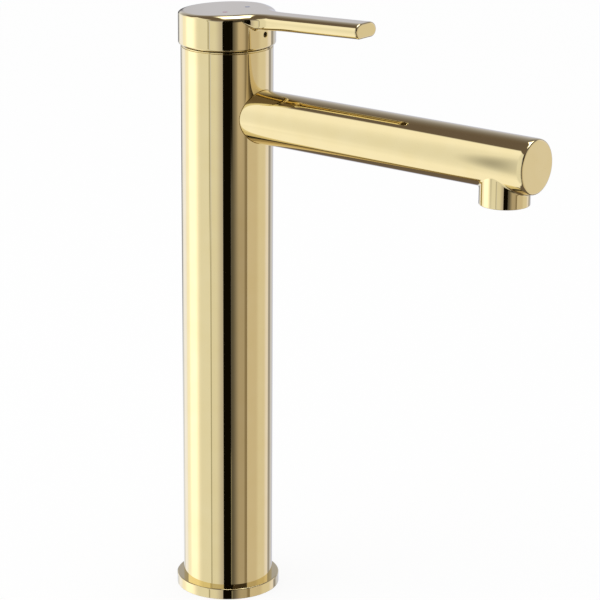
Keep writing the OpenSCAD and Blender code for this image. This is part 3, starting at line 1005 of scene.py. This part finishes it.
        # The blend's ball touches the nozzle's wall and the spout's underside
        reach, off_axis = self.nozzle_radius + self.blend, self.radius + self.blend
        y = reach * math.sin(turn)
        z = self.axis_z - math.sqrt(off_axis**2 - y**2)
        ball = foot + way * reach + np.array([0, 0, z])
        to_axis = -np.array([0, y, z - self.axis_z]) / off_axis
        angle = math.acos(float(np.clip(-way @ to_axis, -1, 1)))
        for i in range(self.blend_steps + 1):
            s = i / self.blend_steps
            aim = math.sin((1 - s) * angle) * -way + math.sin(s * angle) * to_axis
            aim = aim / math.sin(angle)
            line.append((ball + aim * self.blend, -aim))
        line.append((ball + to_axis * (self.blend + self.tuck), way))
        return line


# ---------------------------------------------------------------- handle


def smooth(share: np.ndarray) -> np.ndarray:
    """An even step from 0 to 1."""
    share = np.clip(share, 0, 1)
    return share * share * (3 - 2 * share)


def hollow_blend(a: np.ndarray, b: np.ndarray, cosine: np.ndarray, r: float) -> np.ndarray:
    """Joins two solids with a rolling-ball blend.

    Args:
        a: distance to the first solid.
        b: distance to the second.
        cosine: cosine between their normals.
        r: the ball's radius.

    Returns:
        Distance to the blended union.
    """
    u, v = r - a, r - b
    near = (u - cosine * v > 0) & (v - cosine * u > 0)
    reach = np.maximum(u * u + v * v - 2 * cosine * u * v, 0) / (1 - cosine * cosine)
    return np.where(near, r - np.sqrt(reach), np.minimum(a, b))


def round_edge(
    a: np.ndarray, b: np.ndarray, inset: np.ndarray | float, drop: np.ndarray | float | None = None
) -> np.ndarray:
    """Intersects two solids that meet at about a right angle and rounds their edge.

    Args:
        a: distance to the first solid.
        b: distance to the second.
        inset: how far the rounding reaches inside the first.
        drop: how far it reaches inside the second; as far as inset when left out.

    Returns:
        Distance to the rounded overlap.
    """
    drop = inset if drop is None else drop
    u, v = a / inset + 1, b / drop + 1
    reach = np.sqrt(np.maximum(u, 0) ** 2 + np.maximum(v, 0) ** 2) - 1
    return np.where((u > 0) & (v > 0), reach * np.minimum(inset, drop), np.maximum(a, b))


@dataclass
class Handle:
    """The hub and lever as one blended body, found as the zero of a distance field.

    The top face is tilted about the point where it meets the column's axis, and the lever lies
    along it. Edges are given as (inset from the side, drop from the top), runs as (start beyond the
    hub's wall, length).
    """

    # Top face and hub
    top: float = 296.75
    slope: float = 2.4
    hub: float = 23.7
    hub_edge: tuple[float, float] = (2.7, 1.4)
    rim_z: float = 280.0
    rim_curve: float = 1.2
    # Lever: its section grows round, and its top edge broad, on the way out
    half_width: float = 8.0
    depth: float = 7.25
    reach: float = 83.4
    bar_edge: float = 5.0
    tip_edge: float = 1.1
    root_round: float = 2.2
    round_run: tuple[float, float] = (2.5, 15.0)
    edge_run: tuple[float, float] = (3.0, 12.0)
    # Root: upright fillets, cut off slantwise below. edge_turn is where hub_edge starts to turn
    # into root_edge and over what width, both as cosines round the hub
    root_edge: tuple[float, float] = (4.6, 3.3)
    edge_turn: tuple[float, float] = (-0.1, 0.7)
    root_fillet: float = 14.0
    low_blend: float = 1.4
    steepest: float = 0.9
    gusset_slope: float = 0.8
    gusset_start: float = 24.5
    gusset_rise: float = 0.33
    gusset_edge: float = 0.5
    # Hollow under the top, with the stem's boss and socket and the grub screw's rib
    skirt: float = 22.35
    roof_z: float = 291.5
    boss: float = 7.5
    boss_z: float = 283.8
    boss_overlap: float = 1.0
    socket: float = 4.05
    socket_top: float = 292.7
    rib: float = 2.9
    rib_overlap: float = 0.5
    screw_z: float = 287.0
    screw_hole: float = 1.3
    screw_edge: float = 0.3
    # Marks
    mark_forward: float = 5.7
    mark_aside: float = 8.5
    mark_radius: float = 1.3
    mark_depth: float = 0.5
    mark_dome: tuple[Flat, ...] = ((1.15, 0.05), (0.7, 0.09), (0.0, 0.1))
    # Mesh: the field's grid, and where it gives way to the turned skirt
    cell: float = 0.355
    grid_aside: float = 1.1
    grid_below: float = 1.0
    grid_ahead: float = 1.5
    grid_above: float = 5.2
    cut_z: float = 283.2
    seam_z: float = 282.9
    probe: float = 0.02
    settling: int = 4
    least_slope: float = 0.2

    def build(self) -> None:
        """Makes the handle and its two marks."""
        self._body().piece("Handle", GOLD, "lever", ["handle"])
        self._mark(-1).piece("Hot_mark", HOT_ENAMEL, "lever", ["hot_mark"])
        self._mark(1).piece("Cold_mark", COLD_ENAMEL, "lever", ["cold_mark"])

    @property
    def lever_along(self) -> np.ndarray:
        """The lever's direction."""
        tilt = math.radians(self.slope)
        return np.array([math.cos(tilt), 0, math.sin(tilt)])

    @property
    def lever_up(self) -> np.ndarray:
        """The top face's normal."""
        tilt = math.radians(self.slope)
        return np.array([-math.sin(tilt), 0, math.cos(tilt)])

    def distance(self, spots: np.ndarray) -> np.ndarray:
        """Finds the signed distance to the handle.

        Args:
            spots: positions in millimetres, one per row.

        Returns:
            Negative inside the metal, positive outside.
        """
        x, y, z = spots[:, 0], spots[:, 1], spots[:, 2]
        local = spots - np.array([0, 0, self.top])
        along, up = local @ self.lever_along, local @ self.lever_up
        radial = np.maximum(np.hypot(x, y), TINY)
        hub = radial - self.hub
        bar, cosine = self._bar(x, y, radial, up)
        gusset = self._gusset(x, np.abs(y), hub, -up - self.depth)
        body = np.minimum(hollow_blend(hub, bar, cosine, self.low_blend), gusset)
        inset, drop = self._top_edge(x, radial)
        body = round_edge(body, up, inset, drop)
        body = round_edge(body, along - self.reach, self.tip_edge)
        # The hollow, then what stands in it, then what is cut from that
        body = np.maximum(body, -np.maximum(radial - self.skirt, z - self.roof_z))
        boss = np.maximum(radial - self.boss, self.boss_z - z)
        boss = np.maximum(boss, z - self.roof_z - self.boss_overlap)
        off_screw = np.hypot(y, z - self.screw_z)
        rib = np.maximum(off_screw - self.rib, np.maximum(-x, x - self.skirt - self.rib_overlap))
        body = np.minimum(body, np.minimum(boss, rib))
        socket = np.maximum(np.maximum(np.abs(x), np.abs(y)) - self.socket, z - self.socket_top)
        body = np.maximum(body, -socket)
        screw = np.maximum(off_screw - self.screw_hole, -x)
        return round_edge(body, -screw, self.screw_edge)

    def _run(self, radial: np.ndarray, run: tuple[float, float]) -> np.ndarray:
        """How far along a run out from the hub's wall, as an even step from 0 to 1."""
        return smooth((radial - self.hub - run[0]) / run[1])

    def _bar(
        self, x: np.ndarray, y: np.ndarray, radial: np.ndarray, up: np.ndarray
    ) -> tuple[np.ndarray, np.ndarray]:
        """Finds the distance to the lever's bar, before its top is cut and its end trimmed.

        Args:
            x: distance in front of the column's axis.
            y: distance to the side of it.
            radial: distance from the axis.
            up: height above the top face.

        Returns:
            Distance to the bar, and the cosine between its normal and the hub's.
        """
        full, least = self.depth / 2, self.root_round
        r = full - (full - least) * (1 - self._run(radial, self.round_run))
        side, below = np.abs(y) - (self.half_width - r), -(up + self.depth - r)
        corner = np.hypot(np.maximum(side, 0), np.maximum(below, 0))
        bar = corner + np.minimum(np.maximum(side, below), 0) - r
        both = (side > 0) & (below > 0)
        size = np.maximum(corner, TINY)
        across = np.where(both, side / size, np.where(side > below, 1.0, 0.0)) * np.sign(y)
        downward = np.where(both, below / size, np.where(side > below, 0.0, 1.0))
        cosine = y / radial * across + x / radial * downward * -self.lever_up[0]
        cosine = np.clip(cosine, -self.steepest, self.steepest)
        # Behind the axis the bar ends
        bar = np.where(x > 0, bar, np.hypot(np.maximum(bar, 0), x))
        return bar, np.where(x > 0, cosine, 0.0)

    def _top_edge(self, x: np.ndarray, radial: np.ndarray) -> tuple[np.ndarray, np.ndarray]:
        """Finds the size of the top's rounded edge, which changes from hub to root to lever.

        Args:
            x: distance in front of the column's axis.
            radial: distance from the axis.

        Returns:
            Its inset from the side and its drop from the top.
        """
        first, span = self.edge_turn
        root = smooth((x / radial - first) / span)
        outer = self._run(radial, self.edge_run)
        inset, drop = (a + (b - a) * root for a, b in zip(self.hub_edge, self.root_edge))
        return inset + (self.bar_edge - inset) * outer, drop + (self.depth / 2 - drop) * outer

    def _gusset(
        self, x: np.ndarray, y: np.ndarray, hub: np.ndarray, below: np.ndarray
    ) -> np.ndarray:
        """Finds the distance to the upright fillets between hub and lever.

        Args:
            x: distance in front of the column's axis.
            y: distance to either side of it.
            hub: distance to the hub's wall.
            below: distance below the lever's underside.

        Returns:
            Distance to the hub and a slab as wide as the lever, with both fillets, all cut off
            slantwise underneath.
        """
        far = self.half_width + self.root_fillet
        front = math.sqrt((self.hub + self.root_fillet) ** 2 - far**2)
        ahead, aside, flank = front - x, far - y, y - self.half_width
        slab = np.where(x > 0, flank, np.hypot(np.maximum(flank, 0), x))
        inside = (ahead > 0) & (aside > ahead * far / front)
        fillet = self.root_fillet - np.hypot(ahead, aside)
        wall = np.where(inside, fillet, np.minimum(hub, slab))
        under = below + self.gusset_slope * np.maximum(flank, 0)
        under = under + self.gusset_rise * np.maximum(x - self.gusset_start, 0)
        return round_edge(wall, under / math.hypot(1, self.gusset_slope), self.gusset_edge)

    def _gradient(self, spots: np.ndarray) -> np.ndarray:
        """Finds the gradient of the distance by central differences.

        Args:
            spots: positions in millimetres, one per row.

        Returns:
            The gradient at each.
        """
        shifts = self.probe * np.eye(3)
        rises = [self.distance(spots + s) - self.distance(spots - s) for s in shifts]
        return np.stack(rises, axis=1) / (2 * self.probe)

    def _surface(self) -> tuple[np.ndarray, np.ndarray]:
        """Finds the zero surface on a grid, one vertex to a cell.

        Returns:
            Vertices in millimetres, and faces of four vertex numbers each.
        """
        side = self.hub + self.grid_aside
        low = np.array([-side, -side, self.cut_z - self.grid_below])
        high = np.array([self.reach + self.grid_ahead, side, self.top + self.grid_above])
        count = np.ceil((high - low) / self.cell).astype(int) + 1
        lines = [low[i] + self.cell * np.arange(count[i]) for i in range(3)]
        grid = np.stack(np.meshgrid(*lines, indexing="ij"), axis=-1)
        value = np.concatenate([self.distance(s.reshape(-1, 3)) for s in grid]).reshape(count)
        cells = tuple(count - 1)
        total, hits = np.zeros((*cells, 3)), np.zeros(cells)
        for axis in range(3):
            for near in itertools.product((0, 1), repeat=2):
                # The four grid edges along this axis round each cell, by their two ends
                start = [*near[:axis], 0, *near[axis:]]
                stop = [*near[:axis], 1, *near[axis:]]
                one, two = (
                    tuple(slice(o, o + c) for o, c in zip(ends, cells)) for ends in (start, stop)
                )
                a, b = value[one], value[two]
                cross = (a < 0) != (b < 0)
                share = np.where(cross, a / np.where(cross, a - b, 1), 0)
                spot = grid[one] + share[..., None] * (grid[two] - grid[one])
                total += np.where(cross[..., None], spot, 0)
                hits += cross
        used = hits > 0
        number = np.full(cells, -1)
        number[used] = np.arange(used.sum())
        points = total[used] / hits[used][:, None]
        faces = []
        for axis in range(3):
            # Each grid edge that crosses the surface gives a face through its four cells
            u, v = (axis + 1) % 3, (axis + 2) % 3
            span = [slice(1, c) for c in cells]
            span[axis] = slice(0, cells[axis])
            begin = tuple(span)
            span[axis] = slice(1, cells[axis] + 1)
            a, b = value[begin], value[tuple(span)]
            at = np.argwhere((a < 0) != (b < 0))
            inside = (a < 0)[tuple(at.T)]
            ring = []
            for du, dv in ((0, 0), (1, 0), (1, 1), (0, 1)):
                cell = at.copy()
                cell[:, u] += du
                cell[:, v] += dv
                ring.append(number[tuple(cell.T)])
            quad = np.stack(ring, axis=1)
            quad[~inside] = quad[~inside][:, ::-1]
            faces.append(quad)
        return points, np.concatenate(faces)

    def _body(self) -> Shell:
        """Makes the whole handle: the blended upper part, stitched to a turned skirt.

        Returns:
            The handle's shell.
        """
        points, faces = self._surface()
        for _ in range(self.settling):
            gradient = self._gradient(points)
            size = np.maximum((gradient**2).sum(1), self.least_slope)
            step = gradient * (self.distance(points) / size)[:, None]
            points = points - np.clip(step, -self.cell / 2, self.cell / 2)
        faces = faces[(points[faces][:, :, 2] > self.cut_z).all(1)]
        normals = self._gradient(points)
        normals /= np.maximum(np.linalg.norm(normals, axis=1), TINY)[:, None]
        used, inverse = np.unique(faces, return_inverse=True)
        faces = inverse.reshape(faces.shape)
        points, normals = points[used], normals[used]
        shell = Shell()
        for point in points:
            shell.point(point)
        for quad in faces:
            shell.face(list(quad), [normals[i] for i in quad])
        self._skirt_below(shell, points, faces)
        return shell

    def _skirt_below(self, shell: Shell, points: np.ndarray, faces: np.ndarray) -> None:
        """Stitches the open lower edges to exact rings and turns the skirt down to the rim.

        Args:
            shell: the shell it goes into.
            points: the upper part's vertices.
            faces: the upper part's faces.
        """
        sides = np.concatenate([faces[:, [i, (i + 1) % 4]] for i in range(4)])
        unique, count = np.unique(np.sort(sides, axis=1), axis=0, return_counts=True)
        ends = np.unique(unique[count == 1])
        outer = np.hypot(points[ends, 0], points[ends, 1]) > (self.hub + self.skirt) / 2
        turns = [turn - math.pi for turn in TURNS]
        rings = []
        for wall, chosen, side in ((self.hub, ends[outer], 1), (self.skirt, ends[~outer], -1)):
            order = chosen[np.argsort(np.arctan2(points[chosen, 1], points[chosen, 0]))]
            ring = [shell.point(UPRIGHT.at(wall, self.seam_z, t)) for t in turns]
            self._zip(shell, [int(n) for n in order], ring, side)
            rings.append(ring)
        centre = (self.hub - self.rim_curve, self.rim_z + self.rim_curve)
        profile = Profile((self.skirt, self.seam_z)).line(self.skirt, self.rim_z)
        profile.line(centre[0], self.rim_z).arc(centre, self.rim_curve, -90, 0, steps=12)
        profile.line(self.hub, self.seam_z)
        turn_between(shell, profile, rings[1], rings[0], turns)

    @staticmethod
    def _zip(shell: Shell, upper: list[int], lower: list[int], side: int) -> None:
        """Fills the strip between two rings that are both sorted by angle.

        Args:
            shell: the shell the strip goes into.
            upper: the open edge's vertices.
            lower: the exact ring's vertices.
            side: 1 for the outside wall, -1 for the bore.
        """

        def angle(number: int) -> float:
            """The vertex's angle round the column."""
            return math.atan2(shell.points[number][1], shell.points[number][0])

        def ahead(ring: list[int], index: int) -> float:
            """The angle of the vertex after a place in a ring, counted on past a full turn."""
            laps, place = divmod(index + 1, len(ring))
            return angle(ring[place]) + 2 * math.pi * laps

        i = j = 0
        while i < len(upper) or j < len(lower):
            a, b = upper[i % len(upper)], lower[j % len(lower)]
            up_next = i < len(upper) and ahead(upper, i) <= ahead(lower, j)
            if j >= len(lower) or up_next:
                corners = [b, upper[(i + 1) % len(upper)], a]
                i += 1
            else:
                corners = [a, b, lower[(j + 1) % len(lower)]]
                j += 1
            corners = corners if side > 0 else corners[::-1]
            turns = [angle(n) for n in corners]
            shell.face(corners, [(side * math.cos(t), side * math.sin(t), 0.0) for t in turns])

    def _mark(self, side: int) -> Shell:
        """Makes one enamel mark: a low dome with a fine metal-tight edge.

        Args:
            side: -1 for hot, 1 for cold.

        Returns:
            The mark's shell.
        """
        foot = np.array([0, 0, self.top]) + self.lever_along * self.mark_forward
        foot = foot + np.array([0, side * self.mark_aside, 0])
        placing = Placing(tuple(foot), tuple(self.lever_up), tuple(self.lever_along))
        p = Profile((0.0, -self.mark_depth)).line(self.mark_radius, -self.mark_depth)
        p.line(self.mark_radius, 0.0)
        for radius, height in self.mark_dome:
            p.line(radius, height)
        return revolve(p, placing)


# ---------------------------------------------------------------- pieces kept from the construction


@dataclass
class InnerWorks:
    """The construction's own solids whose shape is right, each given its finish."""

    finishes: tuple[tuple[Finish, str], ...] = (
        (RUBBER, "base_gasket flange_o_ring riser_seals housing_o_ring"),
        (RUBBER, "coupling_o_ring aerator_seal port_seals cover_ring_seal"),
        (BRASS, "inlet_block cartridge_housing spout_coupling retaining_nut"),
        (COPPER, "hot_riser cold_riser"),
        (NICKEL, "aerator_housing"),
        (WHITE_ACETAL, "aerator_honeycomb cartridge_base stem_turret"),
        (GREY_ACETAL, "aerator_screen cartridge_shell disc_carrier"),
        (CERAMIC, "fixed_disc moving_disc"),
        (STEEL, "pivot_pin stem grub_screw"),
    )

    def build(self) -> None:
        """Gives each kept solid its material."""
        for finish, names in self.finishes:
            for name in names.split():
                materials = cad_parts[name].data.materials
                materials.clear()
                materials.append(finish.material())
                log.info("%s: kept, %s", name, finish.name)


# ---------------------------------------------------------------- studio


@dataclass(frozen=True)
class Card:
    """One reflecting card or lamp front of the studio, in angles round the object.

    Angles are degrees from the camera's side, positive to the camera's right, and height above
    level. Each edge fades over its own width in soft: left, right, low and high. The colour is the
    light it sends, in linear red, green and blue.
    """

    left: float
    right: float
    low: float
    high: float
    colour: tuple[float, float, float]
    soft: tuple[float, float, float, float] = (1.0, 1.0, 5.0, 5.0)


@dataclass(frozen=True)
class Net:
    """A small oval of dark netting, which dims the softbox where the spout's end mirrors it.

    Lengths are millimetres; turn is the direction it faces, in degrees from +X, and passes the
    share of the light that its middle lets through.
    """

    centre: Vec = (99.5, -113.7, 248.9)
    turn: float = 46.4
    half_width: float = 22.0
    half_height: float = 87.0
    passes: float = 0.54

    def build(self) -> None:
        """Makes the net; only mirrored rays meet it."""
        turn = math.radians(self.turn)
        across = Vector((-math.sin(turn), math.cos(turn), 0)) * (self.half_width * MM)
        rise = Vector((0, 0, self.half_height * MM))
        net = add_sheet("Net", across, rise, self._material())
        net.location = [c * MM for c in self.centre]
        net.visible_camera = net.visible_diffuse = net.visible_shadow = False

    def _material(self) -> bpy.types.Material:
        """Makes black netting whose weave opens out towards its edge.

        Returns:
            The material.
        """
        material = bpy.data.materials.new("Black_netting")
        tree = fresh_tree(material)
        place = add_node(tree, "ShaderNodeTexCoord").outputs["Object"]
        turned = add_node(
            tree,
            "ShaderNodeVectorRotate",
            {"Vector": place, "Axis": (0, 0, 1), "Angle": math.radians(-self.turn)},
            rotation_type="AXIS_ANGLE",
        ).outputs[0]
        scaled = add_node(
            tree,
            "ShaderNodeVectorMath",
            {0: turned, 1: (0, 1 / (self.half_width * MM), 1 / (self.half_height * MM))},
            operation="MULTIPLY",
        ).outputs[0]
        reach = add_node(
            tree, "ShaderNodeVectorMath", {0: scaled}, operation="LENGTH"
        ).outputs["Value"]
        clear = add_node(
            tree,
            "ShaderNodeMapRange",
            {"Value": reach, "To Min": self.passes, "To Max": 1.0},
            interpolation_type="SMOOTHSTEP",
        ).outputs[0]
        shade = add_node(tree, "ShaderNodeCombineColor", {0: clear, 1: clear, 2: clear})
        sheer = add_node(tree, "ShaderNodeBsdfTransparent", {"Color": shade.outputs[0]})
        add_node(tree, "ShaderNodeOutputMaterial", {"Surface": sheer.outputs[0]})
        return material


@dataclass
class Studio:
    """Camera, white sweep and the ring of cards that the polished metal mirrors.

    The camera's lengths are millimetres and its angles degrees; the floor's, the lamp's and the
    clipping lengths are metres. The strip is a lamp overhead that only the metal mirrors: its
    sides and its depth are in degrees from straight up.
    """

    # Camera
    yaw: float = 52.315
    pitch: float = 16.990
    roll: float = 0.375
    distance: float = 1344.807
    side_shift: float = 36.010
    aim_z: float = 150.238
    focal_px: float = 2704.708
    frame_px: float = 600.0
    sensor: float = 36.0
    clip_end: float = 20.0
    # Floor, and the lamp that lights it and the plain materials
    floor_half: float = 8.0
    floor_glow: float = 0.86
    floor_colour: str = "#FBFBFB"
    lamp_size: float = 1.2
    lamp_energy: float = 4.0
    lamp_at: Vec = (-0.5, -0.7, 1.6)
    lamp_aim: Vec = (0.0, 0.0, 0.15)
    # What the world sends: plain light, the dim room, the cards in front of it and the strip
    ambient: float = 0.92
    room: tuple[float, float, float] = (0.145, 0.115, 0.10)
    cards: tuple[Card, ...] = (
        # Grey sweep behind, fading upwards into a dim ceiling
        Card(-181, 181, -30, 26, (0.62, 0.65, 0.84), (1, 1, 16, 60)),
        # White end of the sweep on the far left, then the thin edge of its frame
        Card(-169, -118, -30, 12, (0.84, 0.89, 1.06), (5, 1, 12, 20)),
        Card(-152, -148, -30, 16, (0.60, 0.62, 0.72), (3, 3, 5, 10)),
        Card(-146, -118, -30, 12, (0.98, 1.01, 1.26), (5, 1, 12, 20)),
        # Tall softbox on the left, brightest where its tubes are
        Card(-125, -41, -62, 52.5, (0.81, 0.81, 0.80), (5, 1, 5, 3)),
        Card(-125, -76, -62, 52.5, (1.03, 1.02, 1.03), (5, 20, 5, 3)),
        Card(-110, -82, -24, 4, (1.40, 1.38, 1.42), (12, 18, 10, 30)),
        # Dark ceiling and doorway beyond it
        Card(-150, -107, 31, 60, (0.14, 0.11, 0.10), (8, 8, 6, 10)),
        Card(-176, -157, -18, 8, (0.10, 0.10, 0.12), (3, 4, 6, 8)),
        # Gap between two cards, then the next card, shaded towards the camera
        Card(-45.2, -41.6, -15.5, 52, (0.46, 0.44, 0.38), (2, 2, 2, 5)),
        Card(-42.6, -39.2, -62, -15.5, (0.42, 0.40, 0.34), (2, 2, 5, 2)),
        Card(-39.6, -9.6, -60, 24, (0.77, 0.76, 0.73), (1, 1, 5, 24)),
        Card(-19, -9.6, -60, 24, (0.50, 0.47, 0.50), (20, 1, 5, 24)),
        # The dark slot the camera looks through, and the dim wall above the card beside it
        Card(-9.6, 10.5, -70, 46, (0.004, 0.003, 0.001), (1, 1, 5, 6)),
        Card(10.5, 52.5, -60, 46, (0.05, 0.04, 0.035), (1, 1, 5, 6)),
        # Card in its own shade, a seam, and the warm card on the right
        Card(10.5, 52.5, -60, 6, (0.11, 0.10, 0.09), (1, 1, 5, 26)),
        Card(23, 52.5, -60, 6, (0.43, 0.37, 0.31), (20, 1, 5, 26)),
        Card(27, 42, -14, 2, (0.56, 0.48, 0.40), (6, 12, 4, 18)),
        Card(45.5, 52.5, -60, 6, (0.26, 0.21, 0.15), (5, 1, 5, 26)),
        Card(10.0, 14.5, -14, 46, (0.004, 0.003, 0.001), (1, 1, 2, 6)),
        Card(9.9, 11.7, -60, -20.3, (0.26, 0.24, 0.20), (0.6, 0.6, 1, 0.4)),
        Card(-9.6, 12, -42, -38, (0.40, 0.38, 0.34), (1, 1, 2, 2)),
        Card(52.8, 127, -55, 24, (0.63, 0.56, 0.48), (1, 1, 5, 24)),
        Card(84, 127, -55, 24, (0.73, 0.68, 0.61), (14, 1, 5, 24)),
        Card(113, 127, -55, 24, (0.84, 0.81, 0.93), (12, 1, 5, 24)),
        Card(128.5, 141, -50, 24, (0.34, 0.33, 0.38), (5, 6, 5, 24)),
        # Dark ceiling over the right-hand card
        Card(50, 125, 42, 72, (0.05, 0.035, 0.02), (6, 6, 8, 6)),
    )
    strip_sides: tuple[float, float] = (-6.5, 20.0)
    strip_depth: tuple[float, float] = (-38.0, 7.0)
    strip_soft: float = 4.0
    strip_level: float = 3.2

    def build(self) -> None:
        """Makes the camera, the floor, the net, the lamp and the world."""
        self._camera()
        self._floor()
        Net().build()
        self._lamp()
        self._world()

    def _camera(self) -> None:
        """Places the camera."""
        a, e, roll = (math.radians(v) for v in (self.yaw, self.pitch, self.roll))
        back = np.array([math.cos(a) * math.cos(e), -math.sin(a) * math.cos(e), math.sin(e)])
        right = np.array([math.sin(a), math.cos(a), 0.0])
        up = np.cross(back, right)
        spot = np.array([0, 0, self.aim_z]) + right * self.side_shift + back * self.distance
        turned = right * math.cos(roll) + up * math.sin(roll)
        upright = up * math.cos(roll) - right * math.sin(roll)
        lens = bpy.data.cameras.new("Camera")
        lens.sensor_width, lens.sensor_fit = self.sensor, "HORIZONTAL"
        lens.lens = self.focal_px * self.sensor / self.frame_px
        lens.clip_end = self.clip_end
        seen = add_object("Camera", lens)
        rows = [(turned[i], upright[i], back[i], spot[i] * MM) for i in range(3)]
        seen.matrix_world = Matrix((*rows, (0, 0, 0, 1)))
        bpy.context.scene.camera = seen

    def _floor(self) -> None:
        """Makes a white sweep that keeps a soft shadow and stays out of the metal's mirror."""
        material = bpy.data.materials.new("Matt_white_sweep")
        tree = fresh_tree(material)
        seen = add_node(tree, "ShaderNodeLightPath").outputs["Is Camera Ray"]
        bright = add_node(tree, "ShaderNodeEmission", {"Color": (1, 1, 1, 1), "Strength": 1.0})
        matt = add_node(tree, "ShaderNodeBsdfDiffuse", {"Color": linear(self.floor_colour)})
        shown = add_node(
            tree, "ShaderNodeMath", {0: seen, 1: self.floor_glow}, operation="MULTIPLY"
        )
        mixed = add_node(
            tree,
            "ShaderNodeMixShader",
            {0: shown.outputs[0], 1: matt.outputs[0], 2: bright.outputs[0]},
        )
        add_node(tree, "ShaderNodeOutputMaterial", {"Surface": mixed.outputs[0]})
        half = self.floor_half
        sweep = add_sheet("Floor", Vector((half, 0, 0)), Vector((0, half, 0)), material)
        sweep.visible_glossy = False

    def _lamp(self) -> None:
        """Hangs one broad soft lamp overhead, at a plain level."""
        light = bpy.data.lights.new("Soft_lamp", "AREA")
        light.shape, light.size, light.energy = "DISK", self.lamp_size, self.lamp_energy
        lamp = add_object("Soft_lamp", light)
        lamp.location = self.lamp_at
        aim = Vector(self.lamp_aim) - lamp.location
        lamp.rotation_euler = aim.to_track_quat("-Z", "Y").to_euler()
        lamp.visible_glossy = False

    def _world(self) -> None:
        """Draws the studio's cards by direction; the camera itself sees plain white."""
        world = bpy.data.worlds.new("Studio")
        bpy.context.scene.world = world
        tree = fresh_tree(world)
        way = add_node(tree, "ShaderNodeTexCoord").outputs["Generated"]
        turned = add_node(
            tree,
            "ShaderNodeVectorRotate",
            {"Vector": way, "Axis": (0, 0, 1), "Angle": math.radians(self.yaw)},
            rotation_type="AXIS_ANGLE",
        )
        x, y, z = add_node(tree, "ShaderNodeSeparateXYZ", {0: turned.outputs[0]}).outputs
        turn, rise = self._angle(tree, "ARCTAN2", y, x), self._angle(tree, "ARCSINE", z)
        layers = [
            (
                (turn, (card.left, card.right), card.soft[:2]),
                (rise, (card.low, card.high), card.soft[2:]),
                card.colour,
            )
            for card in self.cards
        ]
        sideways, forward = self._angle(tree, "ARCSINE", y), self._angle(tree, "ARCTAN2", x, z)
        soft, bright = (self.strip_soft,) * 2, (self.strip_level,) * 3
        layers.append(
            ((sideways, self.strip_sides, soft), (forward, self.strip_depth, soft), bright)
        )
        colour: object = (*self.room, 1.0)
        for first, second, shade in layers:
            masks = {i: self._band(tree, *band) for i, band in enumerate((first, second))}
            mask = add_node(tree, "ShaderNodeMath", masks, operation="MULTIPLY").outputs[0]
            colour = add_node(
                tree, "ShaderNodeMix", {0: mask, 6: colour, 7: (*shade, 1.0)}, data_type="RGBA"
            ).outputs[2]
        # Mirrored and refracted rays see the cards, soft light is plain, the camera sees white
        path = add_node(tree, "ShaderNodeLightPath").outputs
        shiny = add_node(
            tree,
            "ShaderNodeMath",
            {0: path["Is Glossy Ray"], 1: path["Is Transmission Ray"]},
            operation="MAXIMUM",
        ).outputs[0]
        level = add_node(
            tree,
            "ShaderNodeMix",
            {0: shiny, 6: (*(self.ambient,) * 3, 1), 7: colour},
            data_type="RGBA",
        ).outputs[2]
        shown = add_node(
            tree,
            "ShaderNodeMix",
            {0: path["Is Camera Ray"], 6: level, 7: (1, 1, 1, 1)},
            data_type="RGBA",
        ).outputs[2]
        sky = add_node(tree, "ShaderNodeBackground", {"Color": shown, "Strength": 1.0})
        add_node(tree, "ShaderNodeOutputWorld", {"Surface": sky.outputs[0]})

    @staticmethod
    def _angle(tree: Tree, kind: str, *parts: Socket) -> Socket:
        """Turns parts of a direction into an angle.

        Args:
            tree: the world's nodes.
            kind: the inverse function, by Blender's name.
            *parts: what it takes.

        Returns:
            The socket with the angle in degrees.
        """
        arc = add_node(tree, "ShaderNodeMath", dict(enumerate(parts)), operation=kind)
        return add_node(
            tree, "ShaderNodeMath", {0: arc.outputs[0], 1: 180 / math.pi}, operation="MULTIPLY"
        ).outputs[0]

    @staticmethod
    def _band(tree: Tree, angle: Socket, ends: Sequence[float], soft: Sequence[float]) -> Socket:
        """Makes a mask that is 1 between two angles.

        Args:
            tree: the world's nodes.
            angle: the socket with the angle in degrees.
            ends: where the mask begins and ends.
            soft: the width of each of its edges.

        Returns:
            The mask's socket.
        """
        edges = {}
        for i, (end, width) in enumerate(zip(ends, soft)):
            edges[i] = add_node(
                tree,
                "ShaderNodeMapRange",
                {
                    "Value": angle,
                    "From Min": end - width / 2,
                    "From Max": end + width / 2,
                    "To Min": float(i),
                    "To Max": float(1 - i),
                },
                interpolation_type="SMOOTHSTEP",
            ).outputs[0]
        return add_node(tree, "ShaderNodeMath", edges, operation="MULTIPLY").outputs[0]


# ---------------------------------------------------------------- main


def corners(box: Sequence[Sequence[float]]) -> list[list[float]]:
    """A box's two corners as plain lists."""
    return [[float(c) for c in corner] for corner in box]


def main() -> None:
    """Builds the tap's pieces in order, then the studio."""
    logging.basicConfig(level=logging.INFO, format="%(message)s")
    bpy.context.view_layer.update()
    bpy.context.scene.view_settings.view_transform = "Standard"
    for part in (InnerWorks(), Column(), Spout(), Handle(), Studio()):
        part.build()
        log.info("%s built", type(part).__name__)
    bpy.context.view_layer.update()


if __name__ == "__main__":
    main()
